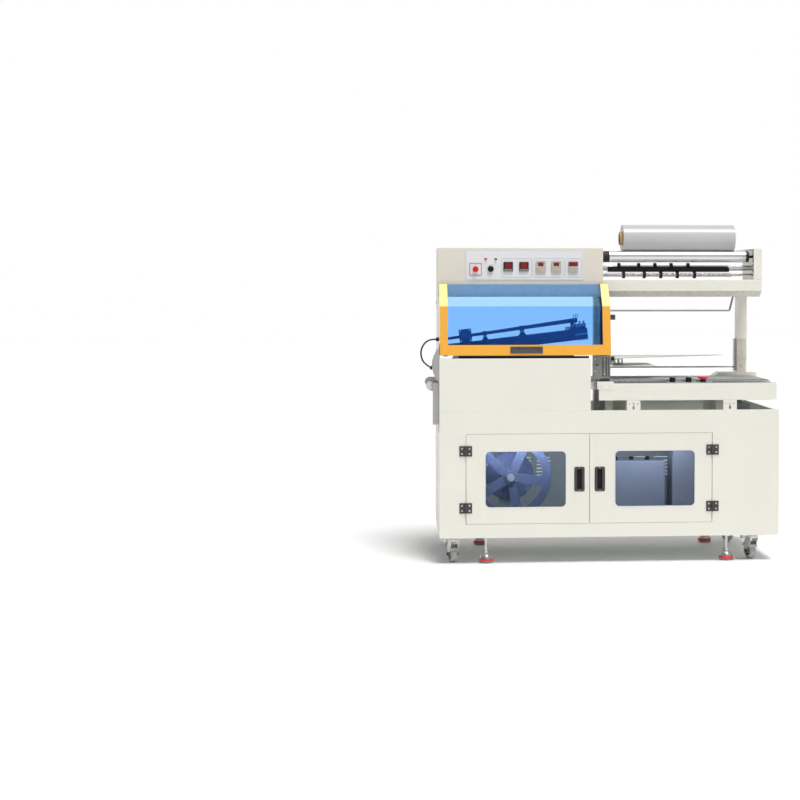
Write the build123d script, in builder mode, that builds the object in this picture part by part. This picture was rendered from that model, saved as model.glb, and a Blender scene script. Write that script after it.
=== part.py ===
"""An automatic L-bar sealer on a wheeled cabinet, in millimetres.

X runs along the machine, from the outfeed on the left to the infeed on the right. Y runs from the
operator's side to the rear, and Z is up. The origin is on the floor, in the middle of the machine's box.
Places along the machine are given from the cabinet's left face, and depths from its front face.
"""
import os
from math import atan2, cos, pi, radians, sin, sqrt, tan

from build123d import *

os.makedirs("parts", exist_ok=True)

# Cabinet
base_length = 1600
base_depth = 640
base_bottom = 125
base_top = 717
sheet = 2
bend_r = 3
seam = 0.3
wall_flange = 22
deck_z = 640
partition_at = 760
vent_slot = (70, 6)
vent_rows = 6

# Running clearances
run_gap = 0.3
bore_gap = 0.05
face_gap = 0.3

# Doors, with their windows, handles and hinges
door_left = 122
door_meet = 702
door_right = 1283
door_bottom = 189
door_top = 611
door_gap = 1.5
hinge_side_gap = 3
door_thick = 18
window_size = (376, 260)
window_corner = 21
window_lap = 12
window_thick = 3
left_window_at = 402
right_window_at = 1010.5
window_mid_z = 398
handle_size = (49, 115)
handle_slot = (24, 94)
handle_slot_corner = 4
handle_from_meet = 48
handle_mid_z = 397
handle_proud = 2
hinge_size = (59, 48)
hinge_plate = 3
knuckle_r = 5
hinge_pin_r = 2
hinge_heights = (265, 531)

# Casters and levelling feet
caster_from_left = 68
caster_from_right = 111
caster_from_front = 70
caster_from_back = 75
caster_trail = 20
caster_turns = (102, 105, 98, 108)
hood_gap = 3
hood_thick = 3
pedal_reach = 38
pedal_r = 8
wheel_d = 75
wheel_width = 30
wheel_lift = 1
axle_r = 4
caster_plate = 6
fork_wall = 4
fork_crown = 16
swivel_r = 24
foot_from_left = 220
foot_from_right = 238
foot_from_front = 60
foot_from_back = 70
foot_pad_d = 65
foot_base_height = 9
foot_ring_height = 12
foot_bell_top = 46
foot_bell_neck_r = 12
foot_stem_r = 7
foot_stem_top = 190
foot_nut = 12

# Conveyors
belt_top = 855
belt_thick = 2
belt_front = 95
belt_back = 405
roller_r = 21.7
outfeed_end = 632
infeed_start = 716
infeed_end = 1585
nose_reach = 60
rail_thick = 4
cross_member_z = 788
bed_channels = 8
bed_wall = 3
table_start = 745
table_end = 1588
table_depth = 480
table_top = 844
table_bottom = 764
support_from = (877, 1334)
support_width = 64
end_bracket = (737, 815)
button_plate = (1070, 1290)
motor_r = 42
motor_length = 170
motor_from_ends = 150
motor_block = (90, 40)
motor_foot = (76, 100, 12)

# Table buttons
button_r = 14
button_height = 22
button_travel = 4
button_plate_thick = 3
button_well = 34
mushroom_head = 10
mushroom_r = 25
button_places = (1099, 1176)
stop_place = 1245
button_depth = 40

# Sealing station
housing_end = 707
housing_top = 962
seal_z = 974
pivot_at = 30
pivot_rise = 20
shaft_r = 12
open_angle = 6.6
jaw_front = 40
jaw_width = 38
beam_up = 32
beam_down = 14
pad_thick = 5.7
cross_start = 642
cross_end = 702
cross_back = 440
cross_drop = 118.7
cross_height = 60
# Room between the raised carriages and the housing's fold
carriage_gap = 2
lower_beam_height = 40
guide_r = 8
guide_depths = (31, 462)
plate_back = 490
window_front = 80
window_back = 450
window_bottom = 795
window_top = 972
bearing_width = 28
bearing_half = 20
bearing_depths = (90, 445)
guard_r = 113
guard_bulge = 33
guard_mid_z = 930
guard_front = 5
guard_width = 70
gate_start = 723
gate_end = 803
gate_bottom = 866
front_post_depth = (50, 86)
front_post_rake = 60
front_post_knee = 1185
plate_step = (24, 60, 105)
plate_step_rise = 28
front_post_from = 756
rear_column_from = 780
rear_column_width = 55
rear_column_depth = (441, 500)

# Safety cover
cover_start = 3
cover_end = 802
cover_profile = ((-2, 977), (33, 1204), (115, 1309))
cover_sheet = 3
cover_stile = 37
cover_rail = 48
cover_cheek = 16
glass_thick = 4
glass_lap = 5
cover_handle_size = (152, 31)
cover_handle_at = 406
cover_handle_z = 1001
cover_axis = (128, 1303)
cover_knuckle_r = 6
cover_pin_r = 3
cover_knuckle_width = 8
cover_ear = 3
cover_hinge_from_end = 17
cover_hinge_in_head = 7.5

# Control head
head_end = 782
head_front = 140
head_back = 490
head_bottom = 1248
head_top = 1480
panel_from = 130
panel_size = (557, 140)
panel_bottom = 1328
panel_thick = 2
instrument_proud = 5
switch_at = (175.7, 1378)
switch_plate = 57
knob_r = 13.5
knob_height = 16
panel_button_at = (247.1, 1379.6)
collar_r = 14
collar_height = 8
plunger_r = 10.2
plunger_travel = 3.5
lamp_places = ((223.8, 1426), (271.4, 1426))
lamp_r = 5.5
controller_places = (330, 405)
controller_size = 44
timer_places = (484.7, 559, 639.4)
timer_size = (45, 51)
instrument_z = 1390

# Film unwinder
frame_end = 1550
frame_front = 150
frame_back = 550
frame_bottom = 1247
beam_low = 1276
beam_top = 1329
side_top = 1477
frame_flange = 39
under_reach = 42
film_mid_depth = 290
carrier_z = 1441
carrier_d = 54
carrier_spacing = 70
carrier_span = (827, 1492)
carrier_caps = (26, 16)
film_d = 134
film_core_d = 65
film_core_wall = 6
film_start = 894
film_length = 546
core_proud = 12
thin_shaft_r = 6
drive_z = 1379
drive_r = 12
drive_span = (825, 1420)
ring_shaft_r = 6.5
ring_shaft_rise = 14
ring_width = 13
needle_ring_r = 18
needle_rings = (884, 981, 1061, 1141, 1224)
ring_roller_z = 1353
ring_roller_r = 9.5
ring_roller_span = (800, 1430)
press_ring_r = 17
press_rings = (901, 1002, 1083, 1164, 1248)
bearing_boss = 8
bearing_reach = 8
dancer_axis_z = 1290
dancer_bar_z = 1180
dancer_bar_r = 5
dancer_span = (812, 1427)
dancer_depth = 300
post_from = 1497
post_width = 50
post_depth = (446, 496)
post_wall = 3
foot_start = 1358
foot_front = 413
foot_slope = 46
foot_plate_height = 27
rack_height = (876, 1036)
rack_width = 14
rack_pitch = 8
rack_tooth_depth = 9
guide_bar_z = 895
guide_bar_r = 4
former_upper = (1421, 954)
former_lower = (1040, 916)
former_thick = 3
former_front = 110
former_back = 440

# Inside the cabinet
reel_at = 343
reel_z = 389
reel_r = 195
reel_rim = 40
reel_hub_r = 42
reel_front = 150
reel_plate = 6
reel_width = 70
reel_spokes = 5
reel_spoke_width = 44
reel_shaft_r = 12
reel_corner_r = 14
stand_width = 100
power_box = ((790, 1104), (250, 420), 450)
relay_box = ((1140, 1262), (250, 400), 600)

# The lead between the jaw and its guard
lead_d = 8
gland_r = 9
lead_depth = 40
lead_start_z = 1051
gland_length = 14

# Frame of the whole machine
hinge_stand_off = knuckle_r + run_gap
left_x = (nose_reach - base_length) / 2
right_x = left_x + base_length
front_y = (hinge_stand_off + knuckle_r - base_depth) / 2
back_y = front_y + base_depth
pivot_z = seal_z + pivot_rise
pivot_x = left_x + pivot_at


def along(place):
    """The X of a place given from the cabinet's left face."""
    return left_x + place


def deep(depth):
    """The Y of a depth given from the cabinet's front face."""
    return front_y + depth


def spread(start, end):
    """The middle and the length of a stretch."""
    return (start + end) / 2, end - start


def block(x, y, z, mode=Mode.ADD):
    """A square-edged block between two values on each axis."""
    (mx, lx), (my, ly), (mz, lz) = spread(*x), spread(*y), spread(*z)
    with Locations((mx, my, mz)):
        Box(lx, ly, lz, mode=mode)


def bar_x(x, y, z, radius, mode=Mode.ADD):
    """A round bar along X."""
    middle, length = spread(*x)
    with Locations(Location((middle, y, z), (0, 90, 0))):
        Cylinder(radius, length, mode=mode)


def bar_y(x, y, z, radius, mode=Mode.ADD):
    """A round bar along Y."""
    middle, length = spread(*y)
    with Locations(Location((x, middle, z), (90, 0, 0))):
        Cylinder(radius, length, mode=mode)


def bar_z(x, y, z, radius, mode=Mode.ADD):
    """A round bar along Z."""
    middle, length = spread(*z)
    with Locations((x, y, middle)):
        Cylinder(radius, length, mode=mode)


def front_plane(y):
    """An upright plane that faces the operator, with X across and Z up."""
    return Plane(origin=(0, y, 0), x_dir=(1, 0, 0), z_dir=(0, -1, 0))


def side_plane(x):
    """An upright plane across the machine, with Y across and Z up."""
    return Plane(origin=(x, 0, 0), x_dir=(0, 1, 0), z_dir=(1, 0, 0))


def folded_sheet(plane, points, length, side=Side.LEFT, thick=sheet, bend=bend_r):
    """A sheet folded along the points of its outer face and drawn out along the plane's normal."""
    with BuildPart() as piece:
        with BuildSketch(plane):
            with BuildLine():
                FilletPolyline(*points, radius=bend)
                offset(amount=thick, side=side)
            make_face()
        extrude(amount=length)
    return piece.part


def save(part, name):
    """Label a finished piece and write it."""
    part.label = name
    export_step(part, f"parts/{name}.step")


# Cabinet walls: two sides and a rear, each folded inwards at its top
with BuildPart() as base_walls:
    inner_front = front_y + sheet + seam
    inner_back = back_y - sheet - seam
    for face, inwards, side in ((left_x, 1, Side.RIGHT), (right_x, -1, Side.LEFT)):
        outline = [(face, base_bottom), (face, base_top), (face + inwards * wall_flange, base_top)]
        add(folded_sheet(front_plane(inner_back), outline, inner_back - inner_front, side))
    rear_outline = [(back_y, base_bottom), (back_y, base_top), (back_y - wall_flange, base_top)]
    rear_start = left_x + wall_flange + seam
    add(folded_sheet(side_plane(rear_start), rear_outline, base_length - 2 * (wall_flange + seam)))
    for x in (left_x + sheet + seam, right_x - wall_flange - seam):
        block((x, x + wall_flange - sheet), (back_y - sheet, back_y), (base_bottom, base_top - sheet - seam))
    with BuildSketch(front_plane(back_y)):
        for bay in (base_length * 0.25, base_length * 0.75):
            with Locations((along(bay), (base_bottom + deck_z) / 2)):
                with GridLocations(vent_slot[0] * 1.4, vent_slot[1] * 3, 4, vent_rows):
                    SlotOverall(*vent_slot)
    extrude(amount=sheet, both=True, mode=Mode.SUBTRACT)
save(base_walls.part, "base_walls")

# Cabinet front: one sheet with the door opening, a return round it and a top flange
with BuildPart() as base_front_frame:
    opening_x = (along(door_left), along(door_right))
    opening_z = (door_bottom, door_top)
    block((left_x, right_x), (front_y, front_y + sheet), (base_bottom, base_top))
    lip_x = (opening_x[0] - sheet, opening_x[1] + sheet)
    lip_z = (opening_z[0] - sheet, opening_z[1] + sheet)
    block(lip_x, (front_y, front_y + door_thick), lip_z)
    flange_y = (front_y, front_y + wall_flange)
    block((left_x + wall_flange, right_x - wall_flange), flange_y, (base_top - sheet, base_top))
    block(opening_x, (front_y - sheet, front_y + door_thick + sheet), opening_z, Mode.SUBTRACT)
save(base_front_frame.part, "base_front_frame")

# Floor pan, inner deck and the partition between the two bays, with the casters' top plates
caster_places = [
    (along(caster_from_left), deep(caster_from_front)),
    (along(base_length - caster_from_right), deep(caster_from_front)),
    (along(caster_from_left), deep(base_depth - caster_from_back)),
    (along(base_length - caster_from_right), deep(base_depth - caster_from_back)),
]
foot_places = [
    (along(foot_from_left), deep(foot_from_front)),
    (along(base_length - foot_from_right), deep(foot_from_front)),
    (along(foot_from_left), deep(base_depth - foot_from_back)),
    (along(base_length - foot_from_right), deep(base_depth - foot_from_back)),
]
with BuildPart() as base_floor:
    inner_x = (left_x + sheet + seam, right_x - sheet - seam)
    inner_y = (front_y + sheet + seam, back_y - sheet - seam)
    deck_y = (front_y + door_thick + seam, inner_y[1])
    block(inner_x, inner_y, (base_bottom, base_bottom + sheet))
    block(inner_x, deck_y, (deck_z, deck_z + sheet))
    divider = along(partition_at)
    divider_y = (deck_y[0] + 60, deck_y[1] - 10)
    block((divider, divider + sheet), divider_y, (base_bottom + sheet + seam, deck_z - seam))
    for x, y in caster_places:
        block((x - 45, x + 45), (y - 38, y + 38), (base_bottom - caster_plate, base_bottom))
    for x, y in foot_places:
        bar_z(x, y, (base_bottom, base_bottom + sheet + foot_nut), foot_stem_r * 2)
    with Locations(*[(x, y, base_bottom) for x, y in foot_places]):
        Cylinder(foot_stem_r + run_gap, 4 * foot_nut, mode=Mode.SUBTRACT)
save(base_floor.part, "base_floor_and_deck")

# Power enclosure and relay enclosure in the right bay, each with a shallow lid
with BuildPart() as electrical_box:
    for (start, end), (near, far), top in (power_box, relay_box):
        block((along(start), along(end)), (deep(near), deep(far)), (base_bottom + sheet + seam, top))
    front_edges = electrical_box.faces().sort_by(Axis.Y)[:2].edges()
    chamfer(front_edges, 3)
save(electrical_box.part, "electrical_box")


def from_hub(point):
    """How far a point lies from the waste reel's axis."""
    return sqrt((point.X - reel_x) ** 2 + (point.Z - reel_z) ** 2)


# Waste-film reel: a spoked front disc and a plain rear disc on a barrel
reel_x = along(reel_at)
reel_y = deep(reel_front)
with BuildPart() as waste_reel:
    with BuildSketch(front_plane(reel_y)):
        with Locations((reel_x, reel_z)):
            Circle(reel_r)
            Circle(reel_r - reel_rim, mode=Mode.SUBTRACT)
            Circle(reel_hub_r)
            with PolarLocations((reel_r - reel_rim / 2 + reel_hub_r) / 2, reel_spokes, start_angle=-78):
                Rectangle(reel_r - reel_hub_r, reel_spoke_width)
    extrude(amount=-reel_plate)
    corners = waste_reel.edges().filter_by(Axis.Y)
    rim_corners = corners.filter_by(lambda e: abs(from_hub(e.center()) - (reel_r - reel_rim)) < 1)
    fillet(rim_corners, reel_corner_r)
    bar_y(reel_x, (reel_y, reel_y + reel_width), reel_z, reel_hub_r)
    bar_y(reel_x, (reel_y + reel_width - 4, reel_y + reel_width), reel_z, reel_r * 0.6)
    bar_y(reel_x, (reel_y - 10, reel_y), reel_z, reel_hub_r * 0.6)
    bar_y(reel_x, (reel_y - 20, reel_y + reel_width + 20), reel_z, reel_shaft_r + bore_gap, Mode.SUBTRACT)
save(waste_reel.part, "waste_reel")

# Reel stand: an upright plate with a foot, a bearing boss and the reel's fixed shaft
with BuildPart() as reel_stand:
    stand_y = reel_y + reel_width + 12
    stand_x = (reel_x - stand_width / 2, reel_x + stand_width / 2)
    block(stand_x, (stand_y, stand_y + 8), (base_bottom + sheet, reel_z + 60))
    block(stand_x, (stand_y, stand_y + 90), (base_bottom + sheet, base_bottom + sheet + 8))
    bar_y(reel_x, (reel_y + reel_width + face_gap, stand_y), reel_z, reel_shaft_r * 2)
    bar_y(reel_x, (reel_y - 16, stand_y + 8), reel_z, reel_shaft_r)
    bar_y(reel_x, (reel_y - 16, reel_y - 10 - face_gap), reel_z, reel_shaft_r * 1.5)
save(reel_stand.part, "reel_stand")

# Gear motors of the two conveyors, standing on the deck
with BuildPart() as drive_motors:
    motor_z = deck_z + sheet + motor_r + motor_foot[2]
    for x in (left_x + motor_from_ends, right_x - motor_from_ends):
        bar_y(x, (deep(180), deep(180 + motor_length)), motor_z, motor_r)
        gear_x = (x - motor_block[0] / 2, x + motor_block[0] / 2)
        block(gear_x, (deep(180 - motor_block[1]), deep(180)), (deck_z + sheet, motor_z + motor_r))
        foot_x = (x - motor_foot[0] / 2, x + motor_foot[0] / 2)
        block(foot_x, (deep(200), deep(200 + motor_foot[1])), (deck_z + sheet, motor_z - motor_r + 2))
        bar_y(x, (deep(150 - motor_block[1]), deep(180 - motor_block[1])), motor_z, motor_r * 0.4)
save(drive_motors.part, "drive_motors")


def fitted_door(name, window_at, hinge_at, inwards):
    """One cabinet door: a folded pan, its window, and the handle and hinge leaves it carries."""
    far_side = along(door_meet) - inwards * door_gap
    near_side = along(hinge_at) + inwards * hinge_side_gap
    x = sorted((near_side, far_side))
    z = (door_bottom + door_gap, door_top - door_gap)
    handle_x = along(door_meet) - inwards * handle_from_meet
    window_x = along(window_at)
    with BuildPart() as pan:
        block(x, (front_y, front_y + door_thick), z)
        block((x[0] + sheet, x[1] - sheet), (front_y + sheet, front_y + door_thick + sheet),
              (z[0] + sheet, z[1] - sheet), Mode.SUBTRACT)
        with BuildSketch(front_plane(front_y)):
            with Locations((window_x, window_mid_z)):
                RectangleRounded(*window_size, window_corner)
            with Locations((handle_x, handle_mid_z)):
                RectangleRounded(handle_size[0] - 6, handle_size[1] - 6, 6)
        extrude(amount=-door_thick, mode=Mode.SUBTRACT)
    save(pan.part, name)
    with BuildPart() as pane:
        with BuildSketch(front_plane(front_y + sheet)):
            with Locations((window_x, window_mid_z)):
                RectangleRounded(*(side + 2 * window_lap for side in window_size), window_corner)
        extrude(amount=-window_thick)
    save(pane.part, f"{name}_window")
    with BuildPart() as fittings:
        body = (handle_size[0] - 6 - 2 * run_gap, handle_size[1] - 6 - 2 * run_gap)
        with BuildSketch(front_plane(front_y)):
            with Locations((handle_x, handle_mid_z)):
                RectangleRounded(*handle_size, 8)
        extrude(amount=handle_proud)
        with BuildSketch(front_plane(front_y)):
            with Locations((handle_x, handle_mid_z)):
                RectangleRounded(*body, 6)
        extrude(amount=-(door_thick - sheet))
        with BuildSketch(front_plane(front_y - handle_proud)):
            with Locations((handle_x, handle_mid_z)):
                RectangleRounded(*handle_slot, handle_slot_corner)
        extrude(amount=-(door_thick - sheet), mode=Mode.SUBTRACT)
        axis_x = along(hinge_at)
        axis_y = front_y - hinge_stand_off
        for mid_z in hinge_heights:
            leaf_x = sorted((axis_x + inwards * (knuckle_r + run_gap), axis_x + inwards * hinge_size[0] / 2))
            leaf_z = (mid_z - hinge_size[1] / 2, mid_z + hinge_size[1] / 2)
            block(leaf_x, (front_y - hinge_plate, front_y), leaf_z)
            third = (mid_z - hinge_size[1] / 6 + run_gap, mid_z + hinge_size[1] / 6 - run_gap)
            web_x = sorted((axis_x, leaf_x[0] if inwards > 0 else leaf_x[1]))
            block(web_x, (front_y - hinge_plate, front_y - run_gap), third)
            bar_z(axis_x, axis_y, third, knuckle_r)
            bar_z(axis_x, axis_y, third, hinge_pin_r + bore_gap, Mode.SUBTRACT)
    save(fittings.part, f"{name}_fittings")


fitted_door("left_door", left_window_at, door_left, 1)
fitted_door("right_door", right_window_at, door_right, -1)

# Fixed hinge leaves of the doors with their pins, the cover's hinge ears and the cover's interlock
with BuildPart() as hinge_fixings:
    for hinge_at, outwards in ((door_left, -1), (door_right, 1)):
        axis_x = along(hinge_at)
        axis_y = front_y - hinge_stand_off
        for mid_z in hinge_heights:
            low = mid_z - hinge_size[1] / 2
            high = mid_z + hinge_size[1] / 2
            leaf_from = axis_x + outwards * (knuckle_r + run_gap)
            leaf_x = sorted((leaf_from, axis_x + outwards * hinge_size[0] / 2))
            block(leaf_x, (front_y - hinge_plate, front_y), (low, high))
            bar_z(axis_x, axis_y, (low, high), hinge_pin_r)
            for span in ((low, mid_z - hinge_size[1] / 6), (mid_z + hinge_size[1] / 6, high)):
                web_x = sorted((axis_x, leaf_x[1] if outwards < 0 else leaf_x[0]))
                block(web_x, (front_y - hinge_plate, front_y - run_gap), span)
                bar_z(axis_x, axis_y, span, knuckle_r)
    for place in (cover_start + cover_hinge_from_end, head_end - cover_hinge_in_head):
        x = along(place)
        ear_in = cover_knuckle_width / 2 + run_gap
        axis_y = deep(cover_axis[0])
        for side in (-1, 1):
            ear_x = sorted((x + side * ear_in, x + side * (ear_in + cover_ear)))
            ear_z = (cover_axis[1] - cover_knuckle_r, cover_axis[1] + cover_knuckle_r)
            block(ear_x, (axis_y, deep(head_front)), ear_z)
            bar_x(ear_x, axis_y, cover_axis[1], cover_knuckle_r)
        bar_x((x - ear_in, x + ear_in), axis_y, cover_axis[1], cover_pin_r)
    block((along(gate_end), along(gate_end + 27)), (deep(60), deep(88)), (1140, 1164))
save(hinge_fixings.part, "hinge_fixings")

# Casters: a swivelling fork with a hood over its wheel, drawn trailing along X and then turned
axle_z = wheel_d / 2 + wheel_lift
fork_top = base_bottom - caster_plate - face_gap
corner_names = ("front_left", "front_right", "rear_left", "rear_right")
leg_in = wheel_width / 2 + 2
leg_out = leg_in + fork_wall
hood_r = wheel_d / 2 + hood_gap


def on_swivel(part, place, turn):
    """A caster's piece, turned about its swivel and moved to its place."""
    return part.rotate(Axis.Z, turn).translate((*place, 0))


for place, turn, corner in zip(caster_places, caster_turns, corner_names):
    with BuildPart() as caster_fork:
        bar_z(0, 0, (fork_top - fork_crown, fork_top), swivel_r)
        for side in (-1, 1):
            with BuildSketch(front_plane(side * leg_in)):
                with BuildLine():
                    Polyline((-swivel_r, fork_top - 4), (-swivel_r, fork_top - fork_crown - 4),
                             (caster_trail - 11, axle_z), (caster_trail, axle_z - 11),
                             (caster_trail + 11, axle_z), (swivel_r + 16, axle_z + 20),
                             (swivel_r + 8, fork_top - 8), (swivel_r, fork_top - 4), close=True)
                make_face()
            extrude(amount=-side * fork_wall)
        block((-swivel_r, swivel_r), (-leg_out, leg_out), (fork_top - fork_crown, fork_top - 4))
        with BuildSketch(front_plane(-leg_out)):
            with Locations((caster_trail, axle_z)):
                Circle(hood_r + hood_thick)
                Circle(hood_r, mode=Mode.SUBTRACT)
                with Locations((-hood_r, -hood_r)):
                    Rectangle(6 * hood_r, 3 * hood_r, mode=Mode.SUBTRACT)
        extrude(amount=-2 * leg_out)
        bar_y(caster_trail, (-leg_out - 3, leg_out + 3), axle_z, axle_r)
        if corner.startswith("front"):
            pedal_z = fork_top - fork_crown
            block((caster_trail - 8, caster_trail + 8), (leg_in, pedal_reach), (pedal_z - 3, pedal_z + 3))
            bar_x((caster_trail - 10, caster_trail + 14), pedal_reach, pedal_z, pedal_r)
    save(on_swivel(caster_fork.part, place, turn), f"caster_fork_{corner}")
    with BuildPart() as caster_wheel:
        bar_y(caster_trail, (-wheel_width / 2, wheel_width / 2), axle_z, wheel_d / 2)
        fillet(caster_wheel.edges().filter_by(GeomType.CIRCLE), 7)
        for side in (-1, 1):
            groove = sorted((side * (wheel_width / 2 - 3), side * (wheel_width / 2 + 1)))
            bar_y(caster_trail, groove, axle_z, wheel_d / 2 - 12, Mode.SUBTRACT)
            hub = sorted((side * (wheel_width / 2 - 4), side * wheel_width / 2))
            bar_y(caster_trail, hub, axle_z, 10)
        bar_y(caster_trail, (-wheel_width, wheel_width), axle_z, axle_r + bore_gap, Mode.SUBTRACT)
    save(on_swivel(caster_wheel.part, place, turn), f"caster_wheel_{corner}")

# Levelling feet: a pad with a rubber ring, a bell, a hexagon and a threaded stem
pad_r = foot_pad_d / 2
ring_top = foot_base_height + foot_ring_height
for (x, y), corner in zip(foot_places, corner_names):
    with BuildPart() as levelling_foot:
        with BuildSketch(Plane.XZ.offset(-y)):
            with BuildLine():
                Polyline((x, 0), (x + pad_r - 4, 0), (x + pad_r - 2, foot_base_height),
                         (x + pad_r, foot_base_height), (x + pad_r, ring_top), (x + pad_r - 3, ring_top))
                ThreePointArc((x + pad_r - 3, ring_top), (x + pad_r - 10, ring_top + 15),
                              (x + foot_bell_neck_r, foot_bell_top))
                Polyline((x + foot_bell_neck_r, foot_bell_top), (x + foot_stem_r, foot_bell_top),
                         (x + foot_stem_r, foot_stem_top), (x, foot_stem_top), (x, 0))
            make_face()
        revolve(axis=Axis((x, y, 0), (0, 0, 1)))
        for low in (foot_bell_top, base_bottom - foot_nut - run_gap):
            with BuildSketch(Plane.XY.offset(low)):
                with Locations((x, y)):
                    RegularPolygon(foot_stem_r + 6, 6)
            extrude(amount=foot_nut)
    save(levelling_foot.part, f"levelling_foot_{corner}")

# Housing and uprights of the sealing station
with BuildPart() as sealing_frame:
    front_outline = [(front_y + 20, housing_top), (front_y, housing_top), (front_y, base_top + seam)]
    add(folded_sheet(side_plane(left_x), front_outline, housing_end - sheet))
    end_x = (along(housing_end - sheet), along(housing_end))
    block(end_x, (front_y, front_y + 20), (base_top + seam, housing_top))
    with BuildSketch(side_plane(left_x)):
        with BuildLine():
            Polyline((deep(sheet + seam), base_top + seam), (deep(sheet + seam), housing_top - sheet - seam),
                     (deep(plate_step[0]), housing_top - sheet - seam),
                     (deep(plate_step[1]), housing_top + plate_step_rise),
                     (deep(plate_step[1]), front_post_knee),
                     (deep(plate_step[2]), head_bottom - seam), (deep(plate_back), head_bottom - seam),
                     (deep(plate_back), base_top + seam), close=True)
        make_face()
        with Locations((deep((window_front + window_back) / 2), (window_bottom + window_top) / 2)):
            RectangleRounded(window_back - window_front, window_top - window_bottom, 10, mode=Mode.SUBTRACT)
    extrude(amount=sheet)
    lead_seat = (deep(lead_depth - gland_r - 6), deep(plate_step[1] + 2))
    block((left_x, left_x + sheet), lead_seat, (lead_start_z - gland_r - 8, lead_start_z + gland_r + 8))
    for depth in bearing_depths:
        block((left_x + sheet + seam, pivot_x + bearing_half), (deep(depth), deep(depth + bearing_width)),
              (pivot_z - bearing_half, pivot_z + bearing_half))
    bar_y(pivot_x, (deep(0), deep(plate_back)), pivot_z, shaft_r + bore_gap, Mode.SUBTRACT)
    front_x = (along(front_post_from), along(gate_end))
    rear_x = (along(rear_column_from), along(rear_column_from + rear_column_width))
    rear_y = (deep(rear_column_depth[0]), deep(rear_column_depth[1]))
    post_near, post_far = (deep(depth) for depth in front_post_depth)
    post_foot = table_top + seam
    post_head = frame_bottom - seam
    with BuildSketch(side_plane(front_x[0])):
        with BuildLine():
            Polyline((post_near, post_foot), (post_near, front_post_knee),
                     (post_near + front_post_rake, post_head), (deep(head_front) + 12, post_head),
                     (post_far, front_post_knee - 10), (post_far, post_foot), close=True)
        make_face()
    extrude(amount=front_x[1] - front_x[0])
    block(rear_x, rear_y, (deck_z + sheet, frame_bottom - seam))
    hollow_y = (rear_y[0] + post_wall, rear_y[1] - post_wall)
    block((rear_x[0] + post_wall, rear_x[1] - post_wall), hollow_y, (deck_z, frame_bottom), Mode.SUBTRACT)
save(sealing_frame.part, "sealing_frame")

# Rounded guard over the jaw's pivot and the channel below it, outside the left plate
with BuildPart() as left_side_guards:
    arc_x = left_x - guard_bulge + guard_r
    half_chord = sqrt(guard_r ** 2 - (left_x - arc_x) ** 2)
    with BuildSketch(front_plane(deep(guard_front))):
        with BuildLine():
            ThreePointArc((left_x, guard_mid_z + half_chord), (left_x - guard_bulge, guard_mid_z),
                          (left_x, guard_mid_z - half_chord))
            Line((left_x, guard_mid_z - half_chord), (left_x, guard_mid_z + half_chord))
        make_face()
    extrude(amount=-guard_width)
    offset(amount=-sheet, openings=left_side_guards.faces().sort_by(Axis.X)[-1])
    with BuildSketch(side_plane(left_x)):
        with BuildLine():
            Polyline((deep(10), guard_mid_z - half_chord - 1), (deep(10), 655), (deep(40), 615),
                     (deep(86), 615),
                     (deep(86), guard_mid_z - half_chord - 1), close=True)
        make_face()
    extrude(amount=-sheet)
    block((left_x - 30, left_x - sheet), (deep(10), deep(10 + sheet)), (655, guard_mid_z - half_chord - 1))
    block((left_x - 30, left_x - 30 + sheet), (deep(10), deep(40)), (655, guard_mid_z - half_chord - 1))
save(left_side_guards.part, "left_side_guards")

# Control head: a folded shell, open behind, and its rear cover
head_x = (left_x, along(head_end))
with BuildPart() as control_head:
    block(head_x, (deep(head_front), deep(head_back - sheet)), (head_bottom, head_top))
    fillet(control_head.edges().filter_by(Axis.X).sort_by(Axis.Y)[:2], bend_r)
    offset(amount=-sheet, openings=control_head.faces().sort_by(Axis.Y)[-1])
    block(head_x, (deep(head_back - sheet) + seam, deep(head_back)), (head_bottom, head_top))
    with BuildSketch(front_plane(deep(head_back))):
        with Locations((sum(head_x) / 2, (head_bottom + head_top) / 2)):
            with GridLocations(vent_slot[0] * 1.4, vent_slot[1] * 3, 4, vent_rows):
                SlotOverall(*vent_slot)
    extrude(amount=sheet, mode=Mode.SUBTRACT)
save(control_head.part, "control_head")

# White operator plate on the head, with the instruments on it
panel_mid = (along(panel_from) + panel_size[0] / 2, panel_bottom + panel_size[1] / 2)
panel_face = deep(head_front) - panel_thick
with BuildPart() as panel_plate:
    with BuildSketch(front_plane(panel_face)):
        with Locations(panel_mid):
            RectangleRounded(*panel_size, 4)
    extrude(amount=-panel_thick)
save(panel_plate.part, "panel_plate")

with BuildPart() as panel_instruments:
    with BuildSketch(front_plane(panel_face)):
        with Locations(*[(along(x), instrument_z) for x in controller_places]):
            RectangleRounded(controller_size, controller_size, 2)
        with Locations(*[(along(x), instrument_z - 2) for x in timer_places]):
            RectangleRounded(*timer_size, 2)
    extrude(amount=instrument_proud)
    with BuildSketch(front_plane(panel_face)):
        with Locations((along(switch_at[0]), switch_at[1])):
            RectangleRounded(switch_plate, switch_plate, 3)
    extrude(amount=2)
    for x, z in lamp_places:
        bar_y(along(x), (panel_face - 5, panel_face), z, lamp_r)
    collar_x = along(panel_button_at[0])
    bar_y(collar_x, (panel_face - collar_height, panel_face), panel_button_at[1], collar_r)
    bore_y = (panel_face - collar_height - 1, panel_face)
    bar_y(collar_x, bore_y, panel_button_at[1], plunger_r + run_gap, Mode.SUBTRACT)
    fillet(panel_instruments.edges().filter_by(GeomType.CIRCLE).group_by(Axis.Y)[0], 1)
save(panel_instruments.part, "panel_instruments")

with BuildPart() as panel_button:
    plunger_y = (panel_face - collar_height - plunger_travel, panel_face - plunger_travel - face_gap)
    bar_y(collar_x, plunger_y, panel_button_at[1], plunger_r)
    fillet(panel_button.edges().group_by(Axis.Y)[0], 1.5)
save(panel_button.part, "panel_button")

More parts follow.
